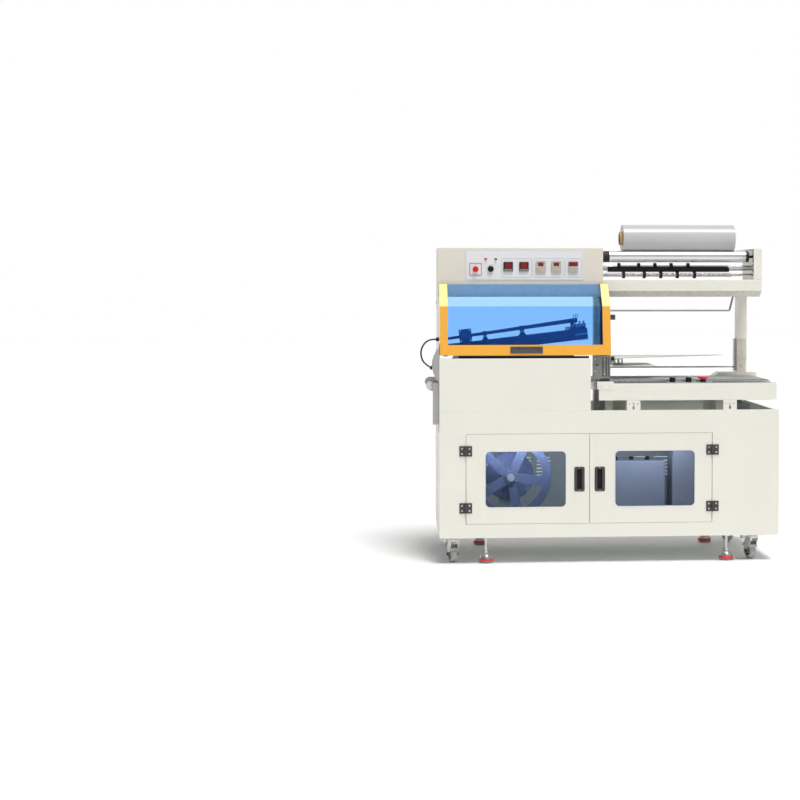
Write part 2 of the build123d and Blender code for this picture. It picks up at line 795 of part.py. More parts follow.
with BuildPart() as main_switch_knob:
    switch_x = along(switch_at[0])
    knob_back = panel_face - 2 - face_gap
    bar_y(switch_x, (knob_back - knob_height * 0.5, knob_back), switch_at[1], knob_r)
    grip_z = (switch_at[1] - knob_r + 1, switch_at[1] + knob_r - 1)
    block((switch_x - 3.5, switch_x + 3.5), (knob_back - knob_height, knob_back), grip_z)
    fillet(main_switch_knob.edges().group_by(Axis.Y)[0], 1)
save(main_switch_knob.part, "main_switch_knob")


def profile_at(z):
    """The depth of the cover's front face at a height on its lower, steep panel."""
    (y0, z0), (y1, z1) = cover_profile[:2]
    return y0 + (y1 - y0) * (z - z0) / (z1 - z0)


# Safety cover: a bent frame with no top rail, hinged at the head
cover_x = (along(cover_start), along(cover_end))
cover_outline = [(deep(y), z) for y, z in cover_profile]
cover_hinges = [along(cover_start + cover_hinge_from_end), along(head_end - cover_hinge_in_head)]
with BuildPart() as cover_frame:
    cover_width = cover_x[1] - cover_x[0]
    add(folded_sheet(side_plane(cover_x[0]), cover_outline, cover_width, Side.RIGHT, cover_sheet, 6))
    block((cover_x[0] + cover_stile, cover_x[1] - cover_stile), (deep(-20), deep(200)),
          (cover_profile[0][1] + cover_rail, cover_profile[2][1] + 20), Mode.SUBTRACT)
    for edge in (cover_x[0], cover_x[1] - sheet):
        add(folded_sheet(side_plane(edge), cover_outline, sheet, Side.RIGHT, cover_cheek, 6))
    for x in cover_hinges:
        half = cover_knuckle_width / 2
        axis_y = deep(cover_axis[0])
        block((x - half, x + half), (deep(cover_profile[2][0]) - 3, axis_y),
              (cover_axis[1] - cover_knuckle_r, cover_axis[1]))
        bar_x((x - half, x + half), axis_y, cover_axis[1], cover_knuckle_r)
        bar_x((x - half - 1, x + half + 1), axis_y, cover_axis[1], cover_pin_r + bore_gap, Mode.SUBTRACT)
save(cover_frame.part, "cover_frame")

# Blue sheet of the cover, bent like its frame and lying behind it
with BuildPart() as cover_glass:
    glass_low = cover_profile[0][1] + cover_rail - glass_lap
    inset = cover_sheet + 0.1
    glass_outline = [(deep(profile_at(glass_low) + inset), glass_low),
                     (deep(cover_profile[1][0] + inset), cover_profile[1][1] - 1),
                     (deep(cover_profile[2][0] + inset * 0.7), cover_profile[2][1] - inset * 0.8)]
    glass_x = (cover_x[0] + cover_stile - glass_lap, cover_x[1] - cover_stile + glass_lap)
    glass_width = glass_x[1] - glass_x[0]
    add(folded_sheet(side_plane(glass_x[0]), glass_outline, glass_width, Side.RIGHT, glass_thick, 8))
save(cover_glass.part, "cover_glass")

# Recessed pull on the cover's bottom rail
with BuildPart() as cover_handle:
    pull_y = deep(profile_at(cover_handle_z))
    lean = atan2(cover_profile[1][0] - cover_profile[0][0], cover_profile[1][1] - cover_profile[0][1])
    pull_plane = Plane(origin=(along(cover_handle_at), pull_y, cover_handle_z), x_dir=(1, 0, 0),
                       z_dir=(0, -cos(lean), sin(lean)))
    with BuildSketch(pull_plane):
        RectangleRounded(*cover_handle_size, 3)
    extrude(amount=4)
    with BuildSketch(pull_plane.offset(4)):
        RectangleRounded(cover_handle_size[0] - 10, cover_handle_size[1] - 10, 2)
    extrude(amount=-3, mode=Mode.SUBTRACT)
save(cover_handle.part, "cover_handle")

# Upper jaw: a long front bar and a cross bar in an L, on a shaft at the left, drawn open
tilt = radians(open_angle)


def jaw_plane(depth):
    """A plane at a depth, square to the shaft, with its X along the open jaw."""
    return Plane(origin=(pivot_x, deep(depth), pivot_z), x_dir=(cos(tilt), 0, sin(tilt)), z_dir=(0, -1, 0))


jaw_reach = cross_end - pivot_at
cross_reach = cross_start - pivot_at
tube_low = 58
tube_high = 74
stud_places = (cross_reach + 12, cross_reach + 30, cross_reach + 48)
with BuildPart() as upper_jaw:
    with BuildSketch(jaw_plane(jaw_front)):
        Circle(24)
        with Locations((jaw_reach / 2, (beam_up - beam_down) / 2)):
            Rectangle(jaw_reach, beam_up + beam_down)
    extrude(amount=-jaw_width)
    with BuildSketch(jaw_plane(jaw_front)):
        with Locations(((jaw_reach + cross_reach) / 2, (beam_up - beam_down) / 2)):
            Rectangle(jaw_reach - cross_reach, beam_up + beam_down)
        with Locations(*[(jaw_reach - 4 - 9 * i, beam_up) for i in range(6)]):
            Rectangle(4, 16, mode=Mode.SUBTRACT)
    extrude(amount=-(cross_back - jaw_front))
    with BuildSketch(jaw_plane(jaw_front + 4)):
        with Locations((jaw_reach / 2 + 20, -beam_down - pad_thick / 2)):
            Rectangle(jaw_reach - 40, pad_thick)
    extrude(amount=-(jaw_width - 8))
    with BuildSketch(jaw_plane(jaw_front + 4)):
        with Locations(((jaw_reach + cross_reach) / 2, -beam_down - pad_thick / 2)):
            Rectangle(jaw_reach - cross_reach - 20, pad_thick)
    extrude(amount=-(cross_back - jaw_front - 8))
    with BuildSketch(jaw_plane(jaw_front + 6)):
        with Locations((101, 62)):
            Rectangle(58, 62)
        with Locations((101, 62)):
            with GridLocations(44, 48, 2, 2):
                Circle(3, mode=Mode.SUBTRACT)
    extrude(amount=-6)
    with BuildSketch(jaw_plane(jaw_front + 6)):
        for post_at, width in ((192, 16), (367, 20), (cross_reach - 6, 18)):
            post_top = tube_low + (tube_high - tube_low) * post_at / cross_reach
            with BuildLine():
                Polyline((post_at - width, beam_up - 1), (post_at - width / 2, beam_up + 12),
                         (post_at - width / 2, post_top + 10), (post_at + width / 2, post_top + 10),
                         (post_at + width / 2, beam_up + 12), (post_at + width, beam_up - 1), close=True)
            make_face()
    extrude(amount=-12)
    for reach in stud_places:
        foot = jaw_plane(jaw_front + jaw_width / 2).from_local_coords(Vector(reach, beam_up - 2, 0))
        up = Vector(-sin(tilt), 0, cos(tilt))
        for height, radius in ((34, 3), (26, 7), (6, 8.5)):
            with BuildSketch(Plane(origin=foot, z_dir=up)):
                Circle(radius)
            extrude(amount=height)
    with BuildSketch(jaw_plane(jaw_front + 14)):
        with BuildLine():
            Polyline((2, tube_low - 7), (2, tube_low + 5), (cross_reach + 20, tube_high + 10),
                     (cross_reach + 20, tube_high - 10), close=True)
        make_face()
    extrude(amount=-16)
    bar_y(pivot_x, (deep(jaw_front), deep(plate_back - 8)), pivot_z, shaft_r)
save(upper_jaw.part, "upper_jaw")

# Fixed lower bar of the long seal on two uprights, with the guide rods of the cross bar
with BuildPart() as lower_jaw:
    beam_y = (deep(jaw_front), deep(jaw_front + jaw_width))
    beam_x = (along(62), along(cross_start - 4))
    block(beam_x, beam_y, (seal_z - 6 - lower_beam_height, seal_z - 6))
    block((beam_x[0] + 4, beam_x[1] - 4), (beam_y[0] + 8, beam_y[1] - 8), (seal_z - 6, seal_z))
    for place in (100, 560):
        block((along(place), along(place + 30)), (beam_y[0] + 5, beam_y[1] - 5), (deck_z + sheet, seal_z - 6))
    guide_x = along((cross_start + cross_end) / 2)
    for depth, top in zip(guide_depths, (housing_top - 8, housing_top - 30)):
        bar_z(guide_x, deep(depth), (deck_z + sheet, top), guide_r)
        bar_z(guide_x, deep(depth), (deck_z + sheet, deck_z + sheet + 14), guide_r + 7)
    # Slotted uprights of the gate between the infeed and the sealing station
    gate_face = deep(28)
    gate_x = (along(gate_start), along(front_post_from - 1))
    block(gate_x, (gate_face, gate_face + 38), (gate_bottom, seal_z))
    gate_right = (gate_x[1], along(gate_end))
    block(gate_right, (gate_face, deep(front_post_depth[0]) - seam), (gate_bottom, seal_z))
    with BuildSketch(front_plane(gate_face)):
        with BuildLine():
            Polyline((along(gate_end), seal_z - 42), (along(gate_end + 20), seal_z - 22),
                     (along(gate_end + 20), seal_z - 4), (along(gate_end), seal_z - 4), close=True)
        make_face()
    extrude(amount=-20)
    groove_y = (gate_face - 2, gate_face + 10)
    for place in (gate_start + 44, gate_start + 60, gate_end - 8):
        block((along(place - 3), along(place + 3)), groove_y, (gate_bottom + 8, seal_z - 10), Mode.SUBTRACT)
    bar_y(along(gate_start + 16), (gate_face - 2, gate_face + 12), seal_z - 44, 5, Mode.SUBTRACT)
save(lower_jaw.part, "lower_jaw")

# Lower bar of the cross seal, which rises on its two rods as the upper jaw closes
with BuildPart() as lower_cross_jaw:
    cross_top = seal_z - cross_drop
    carriage_top = housing_top - sheet - carriage_gap - cross_drop
    cross_x = (along(cross_start), along(cross_end))
    block(cross_x, (deep(jaw_front + 2), deep(cross_back)), (cross_top - cross_height, cross_top - 6))
    pad_y = (deep(jaw_front + 6), deep(cross_back - 6))
    block((cross_x[0] + 10, cross_x[1] - 10), pad_y, (cross_top - 6, cross_top))
    for depth, towards in zip(guide_depths, (1, -1)):
        carriage_y = sorted((deep(depth - towards * 15), deep(depth + towards * 24)))
        block((guide_x - 20, guide_x + 20), carriage_y, (cross_top - cross_height, carriage_top))
        bar_z(guide_x, deep(depth), (cross_top - 100, cross_top + 10), guide_r + bore_gap, Mode.SUBTRACT)
save(lower_cross_jaw.part, "lower_cross_jaw")


def belt_loop(start, end):
    """A belt round two rollers, as a closed band."""
    outer = roller_r + face_gap + belt_thick
    middle, length = spread(along(start), along(end))
    with BuildPart() as loop:
        with BuildSketch(front_plane(deep(belt_front))):
            with Locations((middle, belt_top - outer)):
                SlotOverall(length, 2 * outer)
                SlotOverall(length - 2 * belt_thick, 2 * (outer - belt_thick), mode=Mode.SUBTRACT)
        extrude(amount=-(belt_back - belt_front))
    return loop.part


# The two belts
axle_drop = roller_r + face_gap + belt_thick
roller_z = belt_top - axle_drop
with BuildPart() as conveyor_belts:
    add(belt_loop(-nose_reach + 2, outfeed_end))
    add(belt_loop(infeed_start, infeed_end))
save(conveyor_belts.part, "conveyor_belts")

# Slider beds inside the belts, fixed nose bars, and the side rails that carry them
with BuildPart() as conveyor_beds:
    runs = ((-nose_reach, outfeed_end, -1), (infeed_start, infeed_end, 1))
    for start, end, driven in runs:
        bed_start = start + axle_drop + 26
        bed_end = end - axle_drop - 26
        bed_z = (belt_top - 2 * axle_drop + belt_thick + 1, belt_top - belt_thick - face_gap)
        block((along(bed_start), along(bed_end)), (deep(belt_front), deep(belt_back)), bed_z)
        channel_width = (belt_back - belt_front) / bed_channels - bed_wall
        channel_height = bed_z[1] - bed_z[0] - 2 * bed_wall
        bed_middle = (along((bed_start + bed_end) / 2), deep((belt_front + belt_back) / 2), sum(bed_z) / 2)
        with Locations(bed_middle):
            with GridLocations(1, channel_width + bed_wall, 1, bed_channels):
                Box(bed_end - bed_start, channel_width, channel_height, mode=Mode.SUBTRACT)
        nose_at = end - axle_drop if driven < 0 else start + axle_drop
        bar_y(along(nose_at), (deep(belt_front), deep(belt_back)), roller_z, roller_r)
        for depth in (belt_front - rail_thick - 1, belt_back + 1):
            with BuildSketch(front_plane(deep(depth))):
                middle, length = spread(along(start), along(end))
                with Locations((middle, roller_z)):
                    SlotOverall(length, 2 * axle_drop - 6)
            extrude(amount=-rail_thick)
            join_y = (deep(depth + rail_thick), deep(belt_front))
            if depth > belt_front:
                join_y = (deep(belt_back), deep(depth))
            block((along(bed_start), along(bed_end)), join_y, (bed_z[0] + 4, bed_z[1] - 8))
            bar_y(along(nose_at), join_y, roller_z, thin_shaft_r)
    leg_places = (belt_front - 2 * rail_thick - 1 - seam, belt_back + rail_thick + 1 + seam)
    leg_ys = [(deep(depth), deep(depth + rail_thick)) for depth in leg_places]
    between = (leg_ys[0][1] + seam, leg_ys[1][0] - seam)
    table_inside = (deep(sheet + seam), deep(table_depth - sheet - seam))
    for place, low, reach in ((100, deck_z + sheet, between), (560, deck_z + sheet, between),
                              (900, None, table_inside), (1450, None, table_inside)):
        x = (along(place), along(place + 30))
        cross_z = (cross_member_z, cross_member_z + 18)
        block(x, reach, cross_z)
        for y in leg_ys:
            block(x, y, (low or cross_z[1] + seam, roller_z))
    for roller_at in (-nose_reach + 2 + axle_drop, infeed_end - axle_drop):
        bar_y(along(roller_at), (deep(60), deep(470)), roller_z, thin_shaft_r + bore_gap, Mode.SUBTRACT)
save(conveyor_beds.part, "conveyor_beds")

end_rollers = (("outfeed_roller", -nose_reach + 2 + axle_drop), ("infeed_roller", infeed_end - axle_drop))
for name, roller_at in end_rollers:
    with BuildPart() as roller:
        bar_y(along(roller_at), (deep(belt_front), deep(belt_back)), roller_z, roller_r)
        shaft_y = (deep(belt_front - rail_thick - 1), deep(belt_back + rail_thick + 1))
        bar_y(along(roller_at), shaft_y, roller_z, thin_shaft_r)
    save(roller.part, name)

# Infeed table: folded front and rear panels on brackets, an end bracket and the button plate
with BuildPart() as table_frame:
    table_x = along(table_start)
    table_length = table_end - table_start
    front_outline = [(front_y + 26, table_top), (front_y, table_top), (front_y, table_bottom),
                     (front_y + 20, table_bottom)]
    add(folded_sheet(side_plane(table_x), front_outline, table_length))
    table_back = deep(table_depth)
    rear_outline = [(table_back - 26, table_top), (table_back, table_top), (table_back, table_bottom),
                    (table_back - 20, table_bottom)]
    rear_x = along(rear_column_from + rear_column_width) + seam
    add(folded_sheet(side_plane(rear_x), rear_outline, along(table_end) - rear_x, Side.RIGHT))
    for place in support_from:
        bracket_x = (along(place), along(place + support_width))
        block(bracket_x, (front_y, front_y + 5), (base_top, table_bottom))
        block(bracket_x, (front_y, front_y + 20), (base_top, base_top + 4))
        block(bracket_x, (table_back - 5, table_back), (deck_z + sheet, table_bottom))
        with BuildSketch(front_plane(front_y)):
            with Locations(((bracket_x[0] + bracket_x[1]) / 2, base_top + 30)):
                with GridLocations(support_width * 0.6, 1, 2, 1):
                    Circle(4)
                with Locations((0, -18)):
                    SlotOverall(17, 9, rotation=90)
        extrude(amount=-5, mode=Mode.SUBTRACT)
    bracket_span = (along(end_bracket[0]), along(end_bracket[1]))
    block(bracket_span, (front_y - 3, front_y), (table_top - 27, table_top + 9))
    plate_span = (along(button_plate[0]), along(button_plate[1]))
    plate_y = (front_y + 6, deep(button_depth) + button_well)
    block(plate_span, plate_y, (table_top, table_top + button_plate_thick))
    with Locations(*[(along(x), deep(button_depth), table_top) for x in (*button_places, stop_place)]):
        Cylinder(button_r + run_gap, 20, mode=Mode.SUBTRACT)
save(table_frame.part, "table_frame")

button_foot = table_top - button_travel
button_top = table_top + button_plate_thick + button_height
for name, place in zip(("table_button_left", "table_button_right"), button_places):
    with BuildPart() as push_button:
        bar_z(along(place), deep(button_depth), (button_foot, button_top), button_r)
        fillet(push_button.edges().group_by(Axis.Z)[-1], 2)
    save(push_button.part, name)

with BuildPart() as emergency_button:
    head_z = button_top - 6
    bar_z(along(stop_place), deep(button_depth), (button_foot, head_z), button_r)
    bar_z(along(stop_place), deep(button_depth), (head_z, head_z + mushroom_head), mushroom_r)
    fillet(emergency_button.edges().group_by(Axis.Z)[-1], 4)
save(emergency_button.part, "emergency_button")

# Unwinder frame: front and rear beams with sloped undersides, and two side plates with bearings
film_y = deep(film_mid_depth)
carrier_ys = (film_y - carrier_spacing / 2, film_y + carrier_spacing / 2)
shaft_lines = [(y, carrier_z) for y in carrier_ys]
ring_behind = sqrt((drive_r + needle_ring_r + face_gap) ** 2 - ring_shaft_rise ** 2)
press_before = sqrt((drive_r + press_ring_r + face_gap) ** 2 - (drive_z - ring_roller_z) ** 2)
shaft_lines += [(film_y + ring_behind, drive_z + ring_shaft_rise), (film_y, drive_z)]
shaft_lines += [(film_y - press_before, ring_roller_z), (deep(dancer_depth), dancer_axis_z)]
plate_in = (along(head_end + sheet), along(frame_end - sheet))
with BuildPart() as unwinder_frame:
    beam_x = (plate_in[0] + seam, plate_in[1] - seam)
    front_face = deep(frame_front)
    rear_face = deep(frame_back)
    front_outline = [(front_face + 24, beam_top), (front_face, beam_top), (front_face, beam_low),
                     (front_face + under_reach, frame_bottom)]
    add(folded_sheet(side_plane(beam_x[0]), front_outline, beam_x[1] - beam_x[0]))
    rear_outline = [(rear_face - 24, beam_top), (rear_face, beam_top), (rear_face, beam_low),
                    (rear_face - under_reach, frame_bottom)]
    add(folded_sheet(side_plane(beam_x[0]), rear_outline, beam_x[1] - beam_x[0], Side.RIGHT))
    with BuildSketch(side_plane(plate_in[1])):
        with BuildLine():
            Polyline((front_face, beam_low), (front_face, side_top), (rear_face, side_top),
                     (rear_face, beam_low), (rear_face - under_reach, frame_bottom),
                     (front_face + under_reach, frame_bottom), close=True)
        make_face()
    extrude(amount=sheet)
    flange_x = (along(frame_end - frame_flange), plate_in[1] - seam)
    block(flange_x, (front_face, front_face + sheet), (beam_top + seam, side_top))
    block(flange_x, (front_face + sheet + seam, rear_face), (side_top - sheet, side_top))
    block((plate_in[0] - sheet, plate_in[0]), (front_face, rear_face), (frame_bottom, side_top))
    boss_spans = ((plate_in[0], plate_in[0] + bearing_reach), (plate_in[1] - bearing_reach, plate_in[1]))
    for radius, mode in ((thin_shaft_r + bearing_boss, Mode.ADD), (thin_shaft_r + bore_gap, Mode.SUBTRACT)):
        for y, z in shaft_lines:
            for span in boss_spans:
                bar_x(span, y, z, radius, mode)
save(unwinder_frame.part, "unwinder_frame")

shaft_span = (plate_in[0] + face_gap, plate_in[1] - face_gap)


def roller_on_shaft(name, span, y, z, radius, rings=(), ring_r=0, caps=(0, 0)):
    """A roller along X on a thin shaft, with any rings or end caps that stand on it."""
    with BuildPart() as roller:
        bar_x(shaft_span, y, z, thin_shaft_r)
        bar_x((along(span[0]), along(span[1])), y, z, radius)
        for ring in rings:
            bar_x((along(ring - ring_width / 2), along(ring + ring_width / 2)), y, z, ring_r)
        for end, outwards, cap in ((span[0], -1, caps[0]), (span[1], 1, caps[1])):
            if cap:
                bar_x(sorted((along(end), along(end + outwards * cap))), y, z, radius - 0.5)
    save(roller.part, name)


for name, carrier_y in zip(("carrier_roller_front", "carrier_roller_rear"), carrier_ys):
    roller_on_shaft(name, carrier_span, carrier_y, carrier_z, carrier_d / 2, caps=carrier_caps)
roller_on_shaft("needle_ring_shaft", drive_span, *shaft_lines[2], ring_shaft_r, needle_rings, needle_ring_r)
roller_on_shaft("drive_roller", drive_span, *shaft_lines[3], drive_r)
roller_on_shaft("press_ring_roller", ring_roller_span, *shaft_lines[4], ring_roller_r,
                press_rings, press_ring_r)

# Film roll on the two carrier rollers, and the board core that it is wound on
film_rise = sqrt((film_d / 2 + carrier_d / 2 + face_gap) ** 2 - (carrier_spacing / 2) ** 2)
film_z = carrier_z + film_rise
film_x = (along(film_start), along(film_start + film_length))
with BuildPart() as film_roll:
    bar_x(film_x, film_y, film_z, film_d / 2)
    fillet(film_roll.edges().filter_by(GeomType.CIRCLE), 1.5)
    bar_x((film_x[0] - 1, film_x[1] + 1), film_y, film_z, film_core_d / 2 + bore_gap, Mode.SUBTRACT)
save(film_roll.part, "film_roll")

with BuildPart() as film_core:
    core_x = (film_x[0] - core_proud, film_x[1] + core_proud / 2)
    bar_x(core_x, film_y, film_z, film_core_d / 2)
    bar_x((core_x[0] - 1, core_x[1] + 1), film_y, film_z, film_core_d / 2 - film_core_wall, Mode.SUBTRACT)
save(film_core.part, "film_core")

# Dancer: a bar on two arms that swings about a shaft in the unwinder frame
with BuildPart() as dancer_bar:
    dancer_y = deep(dancer_depth)
    bar_x(shaft_span, dancer_y, dancer_axis_z, thin_shaft_r)
    bar_x((along(dancer_span[0]), along(dancer_span[1])), dancer_y, dancer_bar_z, dancer_bar_r)
    for end, lean in ((dancer_span[0], 0), (dancer_span[1], 28)):
        foot = Vector(along(end), dancer_y, dancer_bar_z)
        head = Vector(along(end + lean), dancer_y, dancer_axis_z)
        with BuildSketch(Plane(origin=foot, z_dir=head - foot)):
            Circle(dancer_bar_r)
        extrude(amount=(head - foot).length)
save(dancer_bar.part, "dancer_bar")

# Post under the unwinder's right end, with its cap, its slanted foot and the bracket plate
post_x = (along(post_from), along(post_from + post_width))
post_y = (deep(post_depth[0]), deep(post_depth[1]))
foot_top = table_top + foot_plate_height
with BuildPart() as support_post:
    block(post_x, post_y, (foot_top, frame_bottom - seam))
    block((post_x[0] + post_wall, post_x[1] - post_wall), (post_y[0] + post_wall, post_y[1] - post_wall),
          (foot_top + post_wall, frame_bottom - 30), Mode.SUBTRACT)
    with BuildSketch(front_plane(deep(foot_front))):
        with BuildLine():
            Polyline((along(foot_start), table_top + seam), (along(foot_start + foot_slope), foot_top),
                     (along(table_end), foot_top), (along(table_end), table_top + seam), close=True)
        make_face()
    extrude(amount=-(post_depth[1] - foot_front))
    block((post_x[0], post_x[0] + 44), (post_y[0] - 4, post_y[0]), rack_height)
save(support_post.part, "support_post")

# Film guides: the toothed rail at the post, the guide rod and the two former plates on their bracket
with BuildPart() as film_guides:
    rack_x = (post_x[0] - rack_width, post_x[0] - seam)
    rack_mid = sum(post_y) / 2
    rack_y = (rack_mid - 8, rack_mid + 8)
    block(rack_x, rack_y, rack_height)
    teeth = int((rack_height[1] - rack_height[0]) / rack_pitch) - 1
    rack_centre = sum(rack_height) / 2
    tooth_heights = [rack_centre + (i - (teeth - 1) / 2) * rack_pitch for i in range(teeth)]
    with Locations(*[Location((rack_x[0], rack_mid, z), (0, -30, 0)) for z in tooth_heights]):
        Box(2 * rack_tooth_depth, 20, rack_pitch * 0.4, mode=Mode.SUBTRACT)
    column_x = along(rear_column_from + rear_column_width)
    bar_x((column_x + seam, rack_x[0] + 6), rack_mid, guide_bar_z, guide_bar_r)
    former_top = former_upper[1] + former_thick
    column_plate_y = (deep(former_back - 20), deep(former_back + 35))
    block((column_x + seam, column_x + 8), column_plate_y, (guide_bar_z - 15, former_top))
    with BuildSketch(Plane.XY.offset(former_upper[1])):
        with BuildLine():
            Polyline((column_x + 2, deep(former_front)), (along(former_upper[0]), deep(former_back)),
                     (column_x + 2, deep(former_back)), close=True)
        make_face()
    extrude(amount=former_thick)
    lower_z = (former_lower[1], former_lower[1] + former_thick)
    block((column_x + 2, along(former_lower[0])), (deep(former_front + 60), deep(former_back)), lower_z)
    block((column_x + 13, column_x + 60), (deep(250), deep(253)), (former_lower[1], former_top))
    slot_z = (former_lower[1] + 12, former_upper[1] - 10)
    for place in (24, 44):
        block((column_x + place, column_x + place + 8), (deep(248), deep(255)), slot_z, Mode.SUBTRACT)
save(film_guides.part, "film_guides")

# Lead from the jaw to the guard: its points, and arcs as large as its runs allow
lead_y = deep(lead_depth)
lead_route = [
    (left_x - gland_length, lead_y, lead_start_z),
    (left_x - 40, lead_y, lead_start_z),
    (left_x - 66, lead_y - 3, 1036),
    (left_x - 82, lead_y - 4, 1010),
    (left_x - 86, lead_y - 4, 980),
    (left_x - 77, lead_y - 3, 951),
    (left_x - 59, lead_y - 1, 931),
    (left_x - 40, lead_y, 921),
]


def corner_radii(route):
    """The largest arc at each point of a route that its two runs leave room for."""
    radii = []
    for before, here, after in zip(route, route[1:], route[2:]):
        run_in = Vector(*here) - Vector(*before)
        run_out = Vector(*after) - Vector(*here)
        half_turn = radians(run_in.get_angle(run_out)) / 2
        radii.append(0.45 * min(run_in.length, run_out.length) / tan(half_turn))
    return radii


lead_radii = corner_radii(lead_route)
with BuildPart() as jaw_cable:
    with BuildLine() as lead_line:
        FilletPolyline(*lead_route, radius=lead_radii)
    with BuildSketch(Plane(origin=lead_route[0], z_dir=Vector(*lead_route[1]) - Vector(*lead_route[0]))):
        Circle(lead_d / 2)
    sweep()
save(jaw_cable.part, "jaw_cable")
lead_length = lead_line.wire().length
print("lead radii", [round(r, 1) for r in lead_radii], "length", round(lead_length, 1))
lead_section = pi * lead_d ** 2 / 4
print("lead volume over section times length", round(jaw_cable.part.volume / (lead_section * lead_length), 4))

# Glands that hold the lead's two ends, the lower one cut to the guard's face
with BuildPart() as cable_glands:
    bar_x((left_x - gland_length, left_x), lead_y, lead_start_z, gland_r)
    into_guard = (Vector(*lead_route[-1]) - Vector(*lead_route[-2])).normalized()
    with BuildSketch(Plane(origin=lead_route[-1], z_dir=into_guard)):
        Circle(gland_r)
    extrude(amount=gland_length)
    guard_face = left_x - guard_bulge - 0.1
    inside_z = (guard_mid_z - 40, guard_mid_z + 30)
    block((guard_face, left_x - sheet), (lead_y - 20, lead_y + 20), inside_z, Mode.SUBTRACT)
save(cable_glands.part, "cable_glands")
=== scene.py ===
"""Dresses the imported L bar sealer: materials, small details, studio and camera, in metres."""
from math import cos, pi, radians, sin

import bmesh
import bpy
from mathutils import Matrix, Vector


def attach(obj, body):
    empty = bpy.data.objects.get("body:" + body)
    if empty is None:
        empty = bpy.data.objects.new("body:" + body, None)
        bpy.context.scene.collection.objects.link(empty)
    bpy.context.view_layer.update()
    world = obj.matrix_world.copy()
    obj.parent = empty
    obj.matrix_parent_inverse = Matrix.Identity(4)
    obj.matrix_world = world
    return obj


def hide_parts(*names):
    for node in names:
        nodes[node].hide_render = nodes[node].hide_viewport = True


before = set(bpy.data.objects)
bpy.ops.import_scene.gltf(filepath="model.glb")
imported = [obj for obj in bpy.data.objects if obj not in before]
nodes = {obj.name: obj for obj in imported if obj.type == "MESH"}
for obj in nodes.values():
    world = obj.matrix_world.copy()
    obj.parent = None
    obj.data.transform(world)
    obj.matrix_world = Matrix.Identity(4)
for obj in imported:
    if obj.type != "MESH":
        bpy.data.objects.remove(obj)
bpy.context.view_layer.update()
scene = bpy.context.scene

# The same frame as the solids: places along from the cabinet's left face, depths from its front face
LEFT_X = -0.770
FRONT_Y = -0.31485

# Places, depths and heights in millimetres
CABINET_LENGTH = 1600
CABINET_DEPTH = 640
TABLE_BACK = 480
HEAD_BACK = 490
COLUMN_BACK = 500
HINGE_FACE = -3
PANEL_FACE = 138
SWITCH_FACE = PANEL_FACE - 2
INSTRUMENT_FACE = PANEL_FACE - 5
WINDOW_HEIGHT = 398
HANDLE_HEIGHT = 397
HINGE_HEIGHTS = (265, 531)
HINGE_SCREWS = 17.3
JAW_SHAFT = (30, 994)
JAW_FRONT = 40
BELT_TOP = 855
REEL_AXIS = (343, 389)
AXLE_HEIGHT = 38.5
UNWINDER_PLATES = (784, 1548)
CARRIER_ENDS = (827, 1492)
DRIVE_ENDS = (825, 1420)

# Shafts of the unwinder: depth in millimetres, height in metres
ROLL_DEPTH = 290
CARRIER_AXES = ((255, 1.441), (325, 1.441))
DANCER_AXIS = (300, 1.290)
DRIVE_AXIS = (ROLL_DEPTH, 1.379)
NEEDLE_AXIS = (ROLL_DEPTH + 26.872, 1.393)
PRESS_AXIS = (ROLL_DEPTH - 13.509, 1.353)

# Heights in metres at which a solid's colour changes: a change of coat, and at COVER_BEND, HEAD_FOOT and
# BEAM_LOW the edge of painted light, shade or reflection
COVER_BEND = 1.204
HEAD_FOOT = 1.3075
TABLE_TRAY = 0.8413
POST_PLATE = (0.8755, 1.0365)
BEAM_LOW = 1.2755
FORMER_UPPER = 0.9535
FORMER_LOWER = (0.9155, 0.9195)
STOP_COLLAR = 0.8629
FOOT_PAD = 0.009
FOOT_RING = 0.0211

JAW_TILT = radians(6.6)
CORNERS = ("front_left", "front_right", "rear_left", "rear_right")


def X(place):
    """A place along the machine, in millimetres, as X in metres."""
    return LEFT_X + place / 1000


def Y(depth):
    """A depth from the cabinet's front face, in millimetres, as Y in metres."""
    return FRONT_Y + depth / 1000


def P(place, depth, height):
    """A point in metres from a place, a depth and a height in millimetres."""
    return Vector((X(place), Y(depth), height / 1000))


# Camera at the photograph's viewing angle, in metres and degrees
CAMERA_AWAY = 7.190
CAMERA_DOWN = 1.51
CAMERA_TURN = -3.98
camera_data = bpy.data.cameras.new("camera")
camera_data.sensor_width = 36
camera_data.lens = 69.84
camera_data.shift_x = -0.125
camera_data.shift_y = -0.094
camera_data.clip_end = 60
camera = bpy.data.objects.new("camera", camera_data)
camera.location = (-0.9885, FRONT_Y - CAMERA_AWAY, 1.309)
camera.rotation_euler = (radians(90 - CAMERA_DOWN), 0, radians(CAMERA_TURN))
scene.collection.objects.link(camera)
scene.camera = camera


def colour_ramp(tree, factor, stops):
    """A ramp in a node tree, from stops that each hold a place and a colour or a grey."""
    ramp = tree.nodes.new("ShaderNodeValToRGB")
    elements = ramp.color_ramp.elements
    while len(elements) < len(stops):
        elements.new(0.5)
    for element, (place, value) in zip(elements, stops):
        element.position = place
        element.color = (*value, 1) if isinstance(value, tuple) else (value, value, value, 1)
    tree.links.new(factor, ramp.inputs["Fac"])
    return ramp.outputs["Color"]


def mixed_colour(tree, factor, first, second, blend="MIX"):
    """Two colours mixed in a node tree, where each value is a socket, a colour or a number."""
    mix = tree.nodes.new("ShaderNodeMix")
    mix.data_type = "RGBA"
    mix.blend_type = blend
    for socket, value in ((mix.inputs[0], factor), (mix.inputs[6], first), (mix.inputs[7], second)):
        if isinstance(value, tuple):
            socket.default_value = (*value, 1)
        elif isinstance(value, float):
            socket.default_value = value
        else:
            tree.links.new(value, socket)
    return mix.outputs[2]


